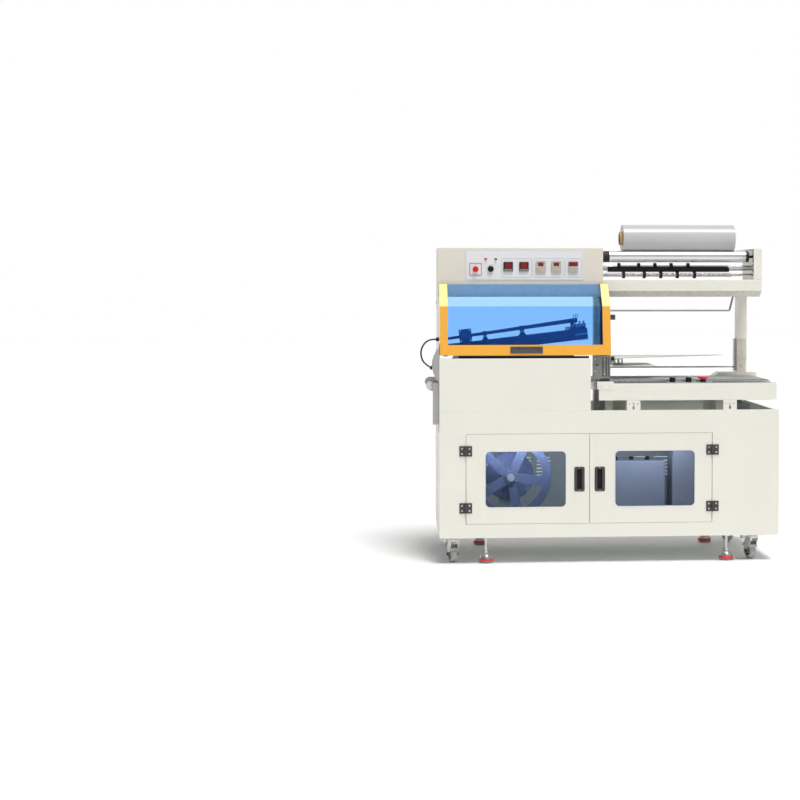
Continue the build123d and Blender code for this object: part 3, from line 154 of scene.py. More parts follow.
class Shader:
    """A Principled material whose colour, roughness and bump come from small node trees."""

    def __init__(self, name, colour, rough=0.45, metal=0.0, coat=0.0):
        self.material = bpy.data.materials.new(name)
        self.material.use_nodes = True
        self.tree = self.material.node_tree
        self.main = self.tree.nodes["Principled BSDF"]
        self.main.inputs["Base Color"].default_value = (*colour, 1)
        self.main.inputs["Roughness"].default_value = rough
        self.main.inputs["Metallic"].default_value = metal
        self.main.inputs["Coat Weight"].default_value = coat
        self.colour = colour
        self.height = None
        self.coords = self.node("ShaderNodeTexCoord").outputs["Object"]

    def node(self, kind, **settings):
        new = self.tree.nodes.new(kind)
        for key, value in settings.items():
            setattr(new, key, value)
        return new

    def link(self, source, target):
        self.tree.links.new(source, target)

    def stretched(self, scale):
        mapping = self.node("ShaderNodeMapping")
        mapping.inputs["Scale"].default_value = scale
        self.link(self.coords, mapping.inputs["Vector"])
        return mapping.outputs["Vector"]

    def noise(self, scale, detail=3.0, stretch=(1, 1, 1)):
        noise = self.node("ShaderNodeTexNoise")
        noise.inputs["Scale"].default_value = scale
        noise.inputs["Detail"].default_value = detail
        self.link(self.stretched(stretch), noise.inputs["Vector"])
        return noise.outputs["Fac"]

    def wave(self, scale, axis):
        wave = self.node("ShaderNodeTexWave", bands_direction=axis)
        wave.inputs["Scale"].default_value = scale
        self.link(self.coords, wave.inputs["Vector"])
        return wave.outputs["Fac"]

    def mixed(self, factor, first, second, blend="MIX"):
        return mixed_colour(self.tree, factor, first, second, blend)

    def drift(self, factor, colour, spread):
        """A colour that varies by a share of itself, following a factor."""
        dark = tuple(c * (1 - spread) for c in colour)
        pale = tuple(min(1.0, c * (1 + spread)) for c in colour)
        return colour_ramp(self.tree, factor, ((0.35, dark), (0.65, pale)))

    def tint(self, factor, spread):
        """Lets the base colour drift, half and half with what it has already."""
        tone = self.drift(factor, self.colour, spread)
        socket = self.main.inputs["Base Color"]
        if socket.is_linked:
            tone = self.mixed(0.5, socket.links[0].from_socket, tone)
        self.link(tone, socket)
        return self

    def roughen(self, factor, low, high):
        spread = self.node("ShaderNodeMapRange")
        spread.inputs["To Min"].default_value = low
        spread.inputs["To Max"].default_value = high
        self.link(factor, spread.inputs["Value"])
        self.link(spread.outputs["Result"], self.main.inputs["Roughness"])
        return self

    def bump(self, factor, distance, strength=0.5):
        bump = self.node("ShaderNodeBump")
        bump.inputs["Distance"].default_value = distance
        bump.inputs["Strength"].default_value = strength
        self.link(factor, bump.inputs["Height"])
        if self.height is not None:
            self.link(self.height, bump.inputs["Normal"])
        self.height = bump.outputs["Normal"]
        self.link(self.height, self.main.inputs["Normal"])
        return self

    def math(self, operation, first, second):
        node = self.node("ShaderNodeMath", operation=operation)
        for socket, value in zip(node.inputs, (first, second)):
            if isinstance(value, (float, int)):
                socket.default_value = value
            else:
                self.link(value, socket)
        return node.outputs[0]

    def region(self, x=(None, None), y=(None, None), z=(None, None), beyond=None):
        """1 inside the limits in X, Y and Z, and beyond a radius about a line along X."""
        split = self.node("ShaderNodeSeparateXYZ")
        self.link(self.coords, split.inputs[0])
        tests = []
        for socket, (low, high) in zip(split.outputs, (x, y, z)):
            if low is not None:
                tests.append(self.math("GREATER_THAN", socket, low))
            if high is not None:
                tests.append(self.math("LESS_THAN", socket, high))
        if beyond:
            squares = []
            for socket, middle in ((split.outputs[1], beyond[0]), (split.outputs[2], beyond[1])):
                away = self.math("SUBTRACT", socket, middle)
                squares.append(self.math("MULTIPLY", away, away))
            tests.append(self.math("GREATER_THAN", self.math("ADD", *squares), beyond[2] ** 2))
        factor = tests[0]
        for test in tests[1:]:
            factor = self.math("MULTIPLY", factor, test)
        return factor

    def repaint(self, colour, rough=None, metal=None, spread=0.08, **limits):
        """Another colour and finish within a region's limits, with its own faint drift of tone: a change of
        coat, and in places painted light, shade or reflection.
        """
        factor = self.region(**limits)
        tone = self.drift(self.noise(45.0), colour, spread)
        base = self.main.inputs["Base Color"]
        earlier = base.links[0].from_socket if base.is_linked else tuple(base.default_value)[:3]
        self.link(self.mixed(factor, earlier, tone), base)
        for name, value in (("Roughness", rough), ("Metallic", metal)):
            if value is None:
                continue
            socket = self.main.inputs[name]
            blend = self.node("ShaderNodeMix", data_type="FLOAT")
            self.link(factor, blend.inputs[0])
            if socket.is_linked:
                self.link(socket.links[0].from_socket, blend.inputs[2])
            else:
                blend.inputs[2].default_value = socket.default_value
            blend.inputs[3].default_value = value
            self.link(blend.outputs[0], socket)
        return self


def coated_metal(name, colour, rough=0.38, peel=0.00012):
    """Powder-coated sheet: a faint drift of tone and a fine orange peel."""
    shader = Shader(name, colour, rough)
    shader.tint(shader.noise(3.0), 0.025).tint(shader.noise(160.0), 0.02)
    shader.roughen(shader.noise(22.0), rough - 0.05, rough + 0.07)
    return shader.bump(shader.noise(1400.0, 1.0), peel, 0.35)


def moulded(name, colour, rough=0.5, grain=0.00015):
    """Moulded plastic with a fine grain."""
    shader = Shader(name, colour, rough)
    shader.tint(shader.noise(60.0), 0.12)
    shader.roughen(shader.noise(300.0), rough - 0.06, rough + 0.08)
    return shader.bump(shader.noise(2200.0, 1.0), grain, 0.4)


def turned(name, colour, rough=0.25, stretch=(60, 1, 1)):
    """Bright metal with fine tool marks across one direction."""
    shader = Shader(name, colour, rough, metal=1.0)
    marks = shader.noise(18.0, 4.0, stretch)
    shader.tint(marks, 0.07).roughen(marks, rough - 0.07, rough + 0.12)
    return shader.bump(marks, 0.00004, 0.5)


def clear_sheet(name, colour, rough=0.03):
    """Thin tinted clear sheet with faint wipe marks, too thin to bend what is seen through it."""
    shader = Shader(name, colour, rough)
    shader.main.inputs["Transmission Weight"].default_value = 1.0
    shader.main.inputs["IOR"].default_value = 1.03
    return shader.roughen(shader.noise(9.0, 5.0, (1, 1, 3)), rough, rough + 0.04)


CREAM = (0.88, 0.865, 0.775)
TRAY = (0.74, 0.77, 0.74)
BLACK = (0.014, 0.014, 0.015)
BRIGHT = (0.60, 0.60, 0.60)

# Coated sheet metal
cream = coated_metal("cream_coat", CREAM)
inner_grey = coated_metal("inner_grey_coat", TRAY, 0.5)
guard_grey = coated_metal("guard_grey_coat", (0.40, 0.40, 0.39), 0.45)
white_plate = coated_metal("white_plate_coat", (0.83, 0.83, 0.85), 0.4, 0.00003)
jaw_blue = coated_metal("jaw_dark_coat", (0.20, 0.215, 0.28), 0.4)
enclosure_grey = coated_metal("enclosure_coat", (0.42, 0.44, 0.53), 0.5)
motor_grey = coated_metal("motor_coat", (0.30, 0.33, 0.36), 0.5, 0.0003)
orange = coated_metal("orange_coat", (0.95, 0.46, 0.055), 0.34)
# Painted light: the orange above the bend faces up, so it is painted paler and yellower for the light that
# falls on it
orange.repaint((0.93, 0.68, 0.10), spread=0.03, z=(COVER_BEND + 0.0005, None))
warm_head = coated_metal("head_coat", (0.80, 0.755, 0.66))
# Painted shade: the head's lower front, behind the slanted glass, is painted darker for the shade it stands
# in
warm_head.repaint((0.74, 0.66, 0.66), spread=0.04, y=(None, Y(142)), z=(None, HEAD_FOOT))
sealing_coat = coated_metal("sealing_coat", CREAM)
sealing_coat.repaint((0.15, 0.16, 0.19), x=(X(715), None), y=(None, Y(200)))
# Painted shade: the rear column at the right end is cream like the frame, painted grey for the shade it
# stands in
sealing_coat.repaint((0.52, 0.52, 0.49), x=(X(775), None), y=(Y(430), None))
table_coat = coated_metal("table_coat", CREAM)
table_coat.repaint((0.36, 0.37, 0.365), y=(Y(0.6), None), z=(TABLE_TRAY, None))
post_coat = coated_metal("post_coat", CREAM)
post_coat.repaint((0.74, 0.69, 0.585), x=(None, X(1541.5)), y=(Y(441.5), Y(446.5)), z=POST_PLATE)
unwinder_coat = coated_metal("unwinder_coat", CREAM)
# Painted shade: the slanted faces under the beams look down and are cream, painted grey for the shade on them
unwinder_coat.repaint((0.62, 0.61, 0.53), y=(Y(150.6), Y(549.4)), z=(None, BEAM_LOW))

# Cabinet walls: cream outside; the faces that look into the machine are cream too, painted in the trays' grey
# as painted shade inside the cabinet
SKIN = 0.6
walls_coat = coated_metal("walls_coat", CREAM)
walls_shaded_inside = walls_coat.region(x=(X(SKIN), X(CABINET_LENGTH - SKIN)), y=(None, Y(CABINET_DEPTH - SKIN)),
                                 z=(None, 0.7163))
walls_base = walls_coat.main.inputs["Base Color"]
walls_coat.link(walls_coat.mixed(walls_shaded_inside, walls_base.links[0].from_socket, TRAY), walls_base)

# Plastics and rubbers
black_plastic = moulded("black_plastic", (0.012, 0.012, 0.013), 0.42)
black_plastic.main.inputs["Specular IOR Level"].default_value = 0.2
dark_grey_plastic = moulded("dark_grey_plastic", (0.06, 0.058, 0.058), 0.5)
pull_grey = moulded("pull_grey_plastic", (0.085, 0.085, 0.09), 0.55)
beige_plastic = moulded("beige_plastic", (0.52, 0.48, 0.40), 0.5)
red_plastic = moulded("red_plastic", (0.68, 0.015, 0.02), 0.3, 0.00005)
green_plastic = moulded("green_plastic", (0.01, 0.26, 0.07), 0.3, 0.00005)
reel_blue = moulded("reel_blue_plastic", (0.25, 0.30, 0.49), 0.4)
stop_coat = moulded("stop_button_plastic", (0.78, 0.02, 0.04), 0.28, 0.00005)
stop_coat.repaint(BLACK, 0.45, z=(None, STOP_COLLAR))
wheel_rubber = moulded("wheel_grey_rubber", (0.46, 0.46, 0.46), 0.55, 0.0002)
lead_rubber = moulded("lead_rubber", (0.035, 0.037, 0.04), 0.45, 0.00008)
rubber = moulded("ring_rubber", (0.016, 0.016, 0.017), 0.7, 0.0002)
for limits in ((None, X(DRIVE_ENDS[0])), (X(DRIVE_ENDS[1]), None)):
    rubber.repaint(BRIGHT, 0.28, 1.0, x=limits)

# Bright metals
aluminium = turned("turned_aluminium", (0.80, 0.80, 0.81), 0.24)
milled = turned("milled_aluminium", (0.70, 0.70, 0.71), 0.32, (1, 40, 1))
steel = turned("drawn_steel", (0.58, 0.58, 0.58), 0.22, (1, 1, 30))
dancer_steel = turned("dancer_steel", (0.34, 0.34, 0.345), 0.4, (30, 1, 1))
zinc = turned("zinc_steel", (0.66, 0.655, 0.64), 0.34, (3, 3, 3))
screw_steel = turned("screw_steel", (0.75, 0.75, 0.74), 0.3, (4, 4, 4))
gate_metal = turned("gate_metal", (0.54, 0.535, 0.53), 0.35, (1, 1, 30))
gate_metal.repaint((0.27, 0.275, 0.27), 0.5, 0.1, x=(X(705), None))
carrier_metal = turned("carrier_aluminium", (0.80, 0.80, 0.81), 0.34)
for limits in ((None, X(CARRIER_ENDS[0])), (X(CARRIER_ENDS[1]), None)):
    carrier_metal.repaint(BLACK, 0.6, 0.0, x=limits)
guide_metal = turned("guide_metal", (0.50, 0.50, 0.49), 0.36, (3, 3, 3))
guide_metal.repaint((0.62, 0.63, 0.59), 0.4, 0.0, x=(None, X(1421.5)), z=(FORMER_UPPER, None))
guide_metal.repaint((0.82, 0.80, 0.72), 0.4, 0.0, x=(None, X(1040.5)), z=FORMER_LOWER)
foot_metal = turned("foot_metal", (0.66, 0.66, 0.65), 0.3, (3, 3, 3))
foot_metal.repaint((0.75, 0.05, 0.06), 0.5, 0.0, z=(FOOT_PAD, FOOT_RING))
foot_metal.repaint((0.30, 0.31, 0.28), 0.7, 0.0, z=(None, FOOT_PAD))


def ring_shaft(name, axis, metal_r):
    """A bright shaft whose rings are black rubber, told apart by their radius."""
    depth, height = axis
    return turned(name, BRIGHT, 0.24).repaint(BLACK, 0.65, 0.0, beyond=(Y(depth), height, metal_r))


needle_metal = ring_shaft("needle_shaft_steel", NEEDLE_AXIS, 0.0072)
press_metal = ring_shaft("press_shaft_steel", PRESS_AXIS, 0.0100)

# The cover's blue sheet, and the doors' dark tinted sheet that dims what is behind it
blue_glass = clear_sheet("blue_clear_sheet", (0.22, 0.51, 1.0))
# Painted reflection: the slanted sheet above the bend is painted paler for the bright sky it reflects
blue_glass.repaint((0.42, 0.72, 1.0), spread=0.0, z=(COVER_BEND, None))
smoked = clear_sheet("smoked_sheet", (0.36, 0.42, 0.52), 0.04)
smoked.main.inputs["IOR"].default_value = 1.12
smoked.tint(smoked.noise(4.0), 0.03)

# Belt: a fine woven face
belt = Shader("woven_belt", (0.30, 0.30, 0.295), 0.62)
belt.tint(belt.noise(12.0), 0.08)
belt.bump(belt.mixed(1.0, belt.wave(900.0, "X"), belt.wave(900.0, "Y"), "MULTIPLY"), 0.0002, 0.6)
belt.bump(belt.noise(500.0), 0.0001, 0.3)

# Film on the roll: clear film in many turns, with soft bands along it
film = Shader("wound_film", (0.58, 0.565, 0.57), 0.34, coat=0.12)
film.tint(film.noise(9.0, 2.0, (0.15, 1, 1)), 0.06).tint(film.noise(120.0, 2.0, (0.02, 1, 1)), 0.04)
film.bump(film.noise(90.0, 2.0, (0.03, 1, 1)), 0.0006, 0.35)

# Board core with its slanted winding seam
board = Shader("wound_board", (0.66, 0.44, 0.20), 0.8)
board.tint(board.noise(400.0, 4.0), 0.15).tint(board.wave(90.0, "DIAGONAL"), 0.10)
board.bump(board.noise(900.0), 0.0002, 0.5)

COATS = {
    "base_walls": walls_coat, "base_front_frame": cream, "base_floor_and_deck": inner_grey,
    "left_door": cream, "right_door": cream, "left_door_window": smoked, "right_door_window": smoked,
    "left_door_fittings": dark_grey_plastic, "right_door_fittings": dark_grey_plastic,
    "hinge_fixings": dark_grey_plastic, "electrical_box": enclosure_grey, "waste_reel": reel_blue,
    "reel_stand": inner_grey, "drive_motors": motor_grey, "sealing_frame": sealing_coat,
    "left_side_guards": guard_grey, "control_head": warm_head, "panel_plate": white_plate,
    "panel_instruments": black_plastic, "panel_button": black_plastic, "main_switch_knob": red_plastic,
    "cover_frame": orange, "cover_glass": blue_glass, "cover_handle": pull_grey, "upper_jaw": jaw_blue,
    "lower_jaw": gate_metal, "lower_cross_jaw": milled, "conveyor_belts": belt, "conveyor_beds": aluminium,
    "outfeed_roller": aluminium, "infeed_roller": aluminium, "table_frame": table_coat,
    "table_button_left": black_plastic, "table_button_right": black_plastic, "emergency_button": stop_coat,
    "unwinder_frame": unwinder_coat, "carrier_roller_front": carrier_metal,
    "carrier_roller_rear": carrier_metal, "needle_ring_shaft": needle_metal, "drive_roller": rubber,
    "press_ring_roller": press_metal, "film_roll": film, "film_core": board, "dancer_bar": dancer_steel,
    "support_post": post_coat, "film_guides": guide_metal, "cable_glands": black_plastic,
    "jaw_cable": lead_rubber,
}
for corner in CORNERS:
    COATS[f"caster_fork_{corner}"] = zinc
    COATS[f"caster_wheel_{corner}"] = wheel_rubber
    COATS[f"levelling_foot_{corner}"] = foot_metal
for name, obj in nodes.items():
    obj.data.materials.clear()
    obj.data.materials.append(COATS[name].material)


class Kit:
    """Many small shapes gathered in one mesh that rides on one body."""

    def __init__(self, name, body, *shaders, slot):
        self.name = name
        self.body = body
        self.shaders = shaders
        self.slot = slot
        self.bm = bmesh.new()

    def box(self, low, high, bevel=0.0006, material=0):
        low, high = Vector(low), Vector(high)
        size = high - low
        made = bmesh.ops.create_cube(self.bm, size=1)["verts"]
        bmesh.ops.scale(self.bm, vec=size, verts=made)
        bmesh.ops.translate(self.bm, vec=(low + high) / 2, verts=made)
        for face in {f for v in made for f in v.link_faces}:
            face.material_index = material
        bevel = min(bevel, min(size) * 0.4)
        if bevel > 0:
            edges = list({e for v in made for e in v.link_edges})
            bmesh.ops.bevel(self.bm, geom=edges, offset=bevel, segments=2, profile=0.6, affect="EDGES",
                            material=material)

    def turn(self, origin, axis, profile, segments=24, material=0, smooth=True):
        """A turned shape: profile is a list of (radius, height along the axis)."""
        axis = Vector(axis).normalized()
        side = axis.orthogonal().normalized()
        other = axis.cross(side)
        rows = []
        for radius, height in profile:
            centre = Vector(origin) + axis * height
            if radius <= 0:
                rows.append([self.bm.verts.new(centre)])
                continue
            angles = [2 * pi * i / segments for i in range(segments)]
            rows.append([self.bm.verts.new(centre + (side * cos(angle) + other * sin(angle)) * radius)
                         for angle in angles])
        for a, b in zip(rows, rows[1:]):
            for i in range(segments):
                j = (i + 1) % segments
                ring = [a[i % len(a)], a[j % len(a)], b[j % len(b)], b[i % len(b)]]
                corners = [v for n, v in enumerate(ring) if v not in ring[:n]]
                if len(corners) > 2:
                    face = self.bm.faces.new(corners)
                    face.material_index = material
                    face.smooth = smooth

    def plate(self, centre, across, up, outline, thick, material=0):
        """A flat plate from an outline of (across, up) points, thick along across x up."""
        across, up = Vector(across).normalized(), Vector(up).normalized()
        out = across.cross(up)
        back = [self.bm.verts.new(Vector(centre) + across * a + up * b) for a, b in outline]
        front = [self.bm.verts.new(v.co + out * thick) for v in back]
        faces = [self.bm.faces.new(front), self.bm.faces.new(back[::-1])]
        count = len(outline)
        for i in range(count):
            j = (i + 1) % count
            faces.append(self.bm.faces.new([back[i], back[j], front[j], front[i]]))
        for face in faces:
            face.material_index = material

    def band(self, centre, across, up, outer, inner, thick, material=0):
        """A flat ring between two outlines with the same number of points."""
        across, up = Vector(across).normalized(), Vector(up).normalized()
        out = across.cross(up)
        rows = []
        for outline, rise in ((outer, 0), (outer, thick), (inner, thick), (inner, 0)):
            rows.append([self.bm.verts.new(Vector(centre) + across * a + up * b + out * rise)
                         for a, b in outline])
        count = len(outer)
        for first, second in zip(rows, rows[1:] + rows[:1]):
            for i in range(count):
                j = (i + 1) % count
                face = self.bm.faces.new([first[i], first[j], second[j], second[i]])
                face.material_index = material

    def done(self):
        bmesh.ops.recalc_face_normals(self.bm, faces=self.bm.faces)
        mesh = bpy.data.meshes.new(self.name)
        self.bm.to_mesh(mesh)
        self.bm.free()
        for shader in self.shaders:
            mesh.materials.append(shader.material)
        piece = bpy.data.objects.new(self.name, mesh)
        scene.collection.objects.link(piece)
        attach(piece, self.body)


def rounded(width, height, radius, steps=5):
    """The outline of a rounded rectangle about its middle."""
    points = []
    for cx, cy, start in ((1, 1, 0), (-1, 1, 90), (-1, -1, 180), (1, -1, 270)):
        for i in range(steps + 1):
            angle = radians(start + 90 * i / steps)
            points.append((cx * (width / 2 - radius) + radius * cos(angle),
                           cy * (height / 2 - radius) + radius * sin(angle)))
    return points


def pan_screw(kit, centre, axis, radius=0.004, material=0):
    """A domed screw head with a socket in its middle."""
    r = radius
    kit.turn(centre, axis, ((r, -0.0002), (r, r * 0.25), (r * 0.8, r * 0.55), (r * 0.42, r * 0.62),
                            (r * 0.40, r * 0.25), (0, r * 0.2)), 18, material)


def hex_bolt(kit, centre, axis, radius=0.006, material=0):
    """A washer and a hexagon head."""
    r = radius
    kit.turn(centre, axis, ((r * 1.35, -0.0002), (r * 1.35, r * 0.18), (r * 0.9, r * 0.2)), 20, material)
    kit.turn(centre, axis, ((r, r * 0.18), (r, r * 0.75), (r * 0.86, r * 0.85), (0, r * 0.86)), 6, material,
             smooth=False)


FRONT = Vector((0, -1, 0))
REAR = Vector((0, 1, 0))
LEFTWARD = Vector((-1, 0, 0))
RIGHTWARD = Vector((1, 0, 0))
UP = Vector((0, 0, 1))

# The lead from the jaw to its guard, on the route of its solid
LEAD_RADIUS = 0.004
lead_route = [P(-14, 40, 1051), P(-40, 40, 1051), P(-66, 37, 1036), P(-82, 36, 1010), P(-86, 36, 980),
              P(-77, 37, 951), P(-59, 39, 931), P(-40, 40, 921)]
lead_curve = bpy.data.curves.new("jaw_lead", "CURVE")
lead_curve.dimensions = "3D"
lead_curve.bevel_depth = LEAD_RADIUS
lead_curve.bevel_resolution = 5
lead_curve.resolution_u = 16
spline = lead_curve.splines.new("NURBS")
spline.points.add(len(lead_route) - 1)
for point, place in zip(spline.points, lead_route):
    point.co = (*place, 1)
spline.order_u = 3
spline.use_endpoint_u = True
lead = bpy.data.objects.new("jaw_lead", lead_curve)
lead_curve.materials.append(lead_rubber.material)
scene.collection.objects.link(lead)
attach(lead, "frame")
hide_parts("jaw_cable")

# Doors: hinge screws, the window's seal in two rings, and the handle
LEAVES = (("left_door_leaf", 122, 1, 402, 654), ("right_door_leaf", 1283, -1, 1010.5, 750))
fixed_screws = Kit("hinge_screws", "frame", screw_steel, slot="bright_steel")
for body, hinge_at, inwards, window_at, handle_at in LEAVES:
    leaf = Kit(f"{body}_trim", body, screw_steel, white_plate, black_plastic, steel, slot="bright_steel")
    for height in HINGE_HEIGHTS:
        for rise in (-12, 12):
            for kit, side in ((leaf, inwards), (fixed_screws, -inwards)):
                pan_screw(kit, P(hinge_at + side * HINGE_SCREWS, HINGE_FACE, height + rise), FRONT, 0.0042)
    leaf.band(P(window_at, 0, WINDOW_HEIGHT), RIGHTWARD, UP, rounded(0.385, 0.269, 0.0255, 8),
              rounded(0.3745, 0.2585, 0.0203, 8), 0.0014, 1)
    leaf.band(P(window_at, 2, WINDOW_HEIGHT), RIGHTWARD, UP, rounded(0.3758, 0.2598, 0.0208, 8),
              rounded(0.371, 0.255, 0.018, 8), 0.0014, 2)
    # Latch paddle deep in the handle's slot, and the frame's two screws
    leaf.plate(P(handle_at, 9, HANDLE_HEIGHT), RIGHTWARD, UP, rounded(0.0232, 0.0932, 0.0035, 6), 0.001, 2)
    leaf.plate(P(handle_at, 8, HANDLE_HEIGHT - 7), RIGHTWARD, UP, rounded(0.013, 0.056, 0.004, 6), 0.004, 2)
    for rise in (-52, 52):
        pan_screw(leaf, P(handle_at, -2, HANDLE_HEIGHT + rise), FRONT, 0.0022, 3)
    leaf.done()
fixed_screws.done()

# Panel: outlines of its groups
panel = Kit("panel_print", "frame", Shader("panel_line", (0.42, 0.45, 0.52), 0.5), slot="white_plate")


def panel_frame(kit, low_d, high_d, low_z, high_z, radius, width, rise, material=0, depth=PANEL_FACE):
    """A rounded frame on the panel between two places and two heights."""
    centre = P((low_d + high_d) / 2, depth, (low_z + high_z) / 2)
    w, h = (high_d - low_d) / 1000, (high_z - low_z) / 1000
    kit.band(centre, RIGHTWARD, UP, rounded(w, h, radius),
             rounded(w - 2 * width, h - 2 * width, max(radius - width, 0.0005)), rise, material)


for low, high in ((296.2, 442.1), (446.4, 596.5), (602.6, 680.5)):
    panel_frame(panel, low, high, 1339, 1430, 0.009, 0.0016, 0.0002)
panel_frame(panel, 131, 686, 1329, 1467, 0.004, 0.0006, 0.0002)
panel.done()

# Instruments: two controllers, then two timers and a counter, the switch's plate and two lamps
display_red = Shader("display_red", (0.27, 0.004, 0.008), 0.25)
border_red = Shader("switch_border", (0.75, 0.05, 0.06), 0.4)
key_pale = Shader("key_pale", (0.55, 0.52, 0.42), 0.5)
instruments = Kit("instrument_faces", "frame", black_plastic, display_red, beige_plastic, border_red,
                  white_plate, key_pale, screw_steel, green_plastic, red_plastic, slot="instrument_plastic")
DARK, DISPLAY, BEIGE, BORDER, WHITE, PALE, SCREW, GREEN, RED = range(9)


def instrument_box(low, high, low_z, high_z, proud, sunk, bevel, material):
    """A box on the instruments' face, from a place to another and from proud to sunk."""
    instruments.box(P(low, INSTRUMENT_FACE - proud, low_z), P(high, INSTRUMENT_FACE - sunk, high_z), bevel,
                    material)


for place in (330, 405):
    panel_frame(instruments, place - 22, place + 22, 1368, 1412, 0.002, 0.0022, 0.0008, DARK, INSTRUMENT_FACE)
    instrument_box(place - 16, place + 16, 1383, 1408.5, 0.7, 0, 0.0003, DISPLAY)
    instrument_box(place - 18, place + 18, 1370.5, 1379, 0.8, 0, 0.0003, PALE)
    for i in range(4):
        instrument_box(place - 15 + i * 8, place - 9 + i * 8, 1372.4, 1377.2, 1.3, 0, 0.0004, DARK)
for place, half, low, high in ((484.7, 11.5, 1394.5, 1409), (559, 11.5, 1394.5, 1409),
                               (639.4, 20.5, 1394, 1411)):
    instruments.plate(P(place, INSTRUMENT_FACE + 0.2, 1388), RIGHTWARD, UP, rounded(0.0456, 0.0516, 0.0022),
                      0.0012, BEIGE)
    instrument_box(place - half - 1.2, place + half + 1.2, low - 1.2, high + 1.2, 1.5, 0.5, 0.0003, DARK)
    instrument_box(place - half, place + half, low, high, 1.9, 0.8, 0.0003, DISPLAY)
    for i in range(4):
        instrument_box(place - 16 + i * 9, place - 11 + i * 9, 1370, 1375.5, 2.2, 0.8, 0.0006, PALE)
panel_frame(instruments, 147.2, 204.2, 1349.5, 1406.5, 0.003, 0.0022, 0.0004, BORDER, SWITCH_FACE)
instruments.plate(P(175.7, SWITCH_FACE, 1378), RIGHTWARD, UP, rounded(0.0515, 0.0515, 0.002), 0.0003, WHITE)
for place, colour in ((223.8, RED), (271.4, GREEN)):
    centre = P(place, PANEL_FACE, 1426)
    instruments.turn(centre, FRONT, ((0.0072, -0.0002), (0.0072, 0.0018), (0.0060, 0.0026), (0.0056, 0.0026)),
                     28, SCREW)
    instruments.turn(centre, FRONT, ((0.0058, 0.0015), (0.0058, 0.0055), (0.0046, 0.0070), (0.0024, 0.0078),
                                     (0, 0.008)), 28, colour)
instruments.done()

# Screws and bolts on the fixed sheet metal
fixings = Kit("frame_fixings", "frame", screw_steel, zinc, slot="bright_steel")
for place in (755, 797):
    pan_screw(fixings, P(place, -3, 832), FRONT, 0.0036)
for middle in (909, 1366):
    hex_bolt(fixings, P(middle, 0, 747), FRONT, 0.0046)
    for side in (-19.2, 19.2):
        fixings.turn(P(middle + side, 3.5, 747), FRONT, ((0.0036, 0), (0.0036, 0.0016), (0.0020, 0.0024),
                                                        (0.0018, 0.0010), (0, 0.0008)), 18, 1)
        hex_bolt(fixings, P(middle + side * 0.8, TABLE_BACK, 750), REAR, 0.005)
for height in (902, 1000):
    pan_screw(fixings, P(1519, 442, height), FRONT, 0.0042)
for place in (24, 200, 391, 582, 758):
    for height in (1260, 1468):
        pan_screw(fixings, P(place, HEAD_BACK, height), REAR, 0.0036)
for height in (1300, 1364, 1428):
    for place in (12, 770):
        pan_screw(fixings, P(place, HEAD_BACK, height), REAR, 0.0036)
for height in (672, 700, 800):
    pan_screw(fixings, P(-30, 25, height), LEFTWARD, 0.0036)
for depth, height in ((110, 730), (110, 1215), (300, 1225), (470, 1215), (470, 730), (300, 730), (470, 980)):
    hex_bolt(fixings, P(0, depth, height), LEFTWARD, 0.0052)
for depth in (104, 459):
    for rise in (-13, 13):
        hex_bolt(fixings, P(50, depth, JAW_SHAFT[1] + rise), RIGHTWARD, 0.0042)
for depth in (200, 500):
    for height in (1262, 1440):
        hex_bolt(fixings, P(1550, depth, height), RIGHTWARD, 0.0048)
for place in (1534, 1562):
    for depth in (424, 436):
        pan_screw(fixings, P(place, depth, 871), UP, 0.0036)
for place in (786, 829):
    for height in (735, 1190, 1225):
        pan_screw(fixings, P(place, COLUMN_BACK, height), REAR, 0.0034)
fixings.done()

# Bearings of the unwinder's shafts: flanges round the bosses, with their screws
bearings = Kit("unwinder_bearings", "frame", zinc, screw_steel, black_plastic, slot="bright_steel")
BOSS = 0.008
for face, inwards in zip(UNWINDER_PLATES, (RIGHTWARD, LEFTWARD)):
    for depth, height in (*CARRIER_AXES, DANCER_AXIS, DRIVE_AXIS, NEEDLE_AXIS, PRESS_AXIS):
        centre = Vector((X(face), Y(depth), height))
        bearings.turn(centre + inwards * BOSS, inwards, ((0.0066, 0), (0.0066, 0.0009), (0.0108, 0.0009),
                                                         (0.0118, 0.0001), (0.0118, 0)), 24, 1)
        if (depth, height) in (*CARRIER_AXES, DANCER_AXIS):
            bearings.turn(centre, inwards, ((0.0141, 0.0002), (0.0141, 0.0036), (0.0150, 0.0042),
                                            (0.0205, 0.0042), (0.0212, 0.0034), (0.0212, 0.0002)), 28)
            for turn in (40, 220):
                out = Vector((0, cos(radians(turn)), sin(radians(turn)))) * 0.0178
                pan_screw(bearings, centre + inwards * 0.0041 + out, inwards, 0.0021, 1)
# Adjusting knobs of the press roller on the right plate
for depth, height in ((226, 1.372), (226, 1.420)):
    bearings.turn(Vector((X(UNWINDER_PLATES[1]), Y(depth), height)), LEFTWARD,
                  ((0.004, 0), (0.004, 0.010), (0.0085, 0.011), (0.0095, 0.013), (0.0095, 0.021),
                   (0.0080, 0.023), (0, 0.0235)), 12, 2)
bearings.done()

# Dark serrated strip in the gap between the housing's top and the cover
strip = Kit("serrated_strip", "frame", black_plastic, slot="black_plastic")
TEETH = 61
HALF_STRIP = 0.305
outline = [(HALF_STRIP, -0.0032), (HALF_STRIP, 0.004)]
for i in range(TEETH):
    left = HALF_STRIP - i * 0.010
    outline += [(left - 0.0015, 0.0085), (left - 0.0065, 0.0085), (left - 0.0080, 0.0035)]
outline += [(-HALF_STRIP, 0.004), (-HALF_STRIP, -0.0032)]
strip.plate(P(395, 16, 965), RIGHTWARD, UP, outline[::-1], 0.0012)
for place in range(110, 700, 95):
    pan_screw(strip, P(place, 14.8, 963), FRONT, 0.0024)
strip.done()


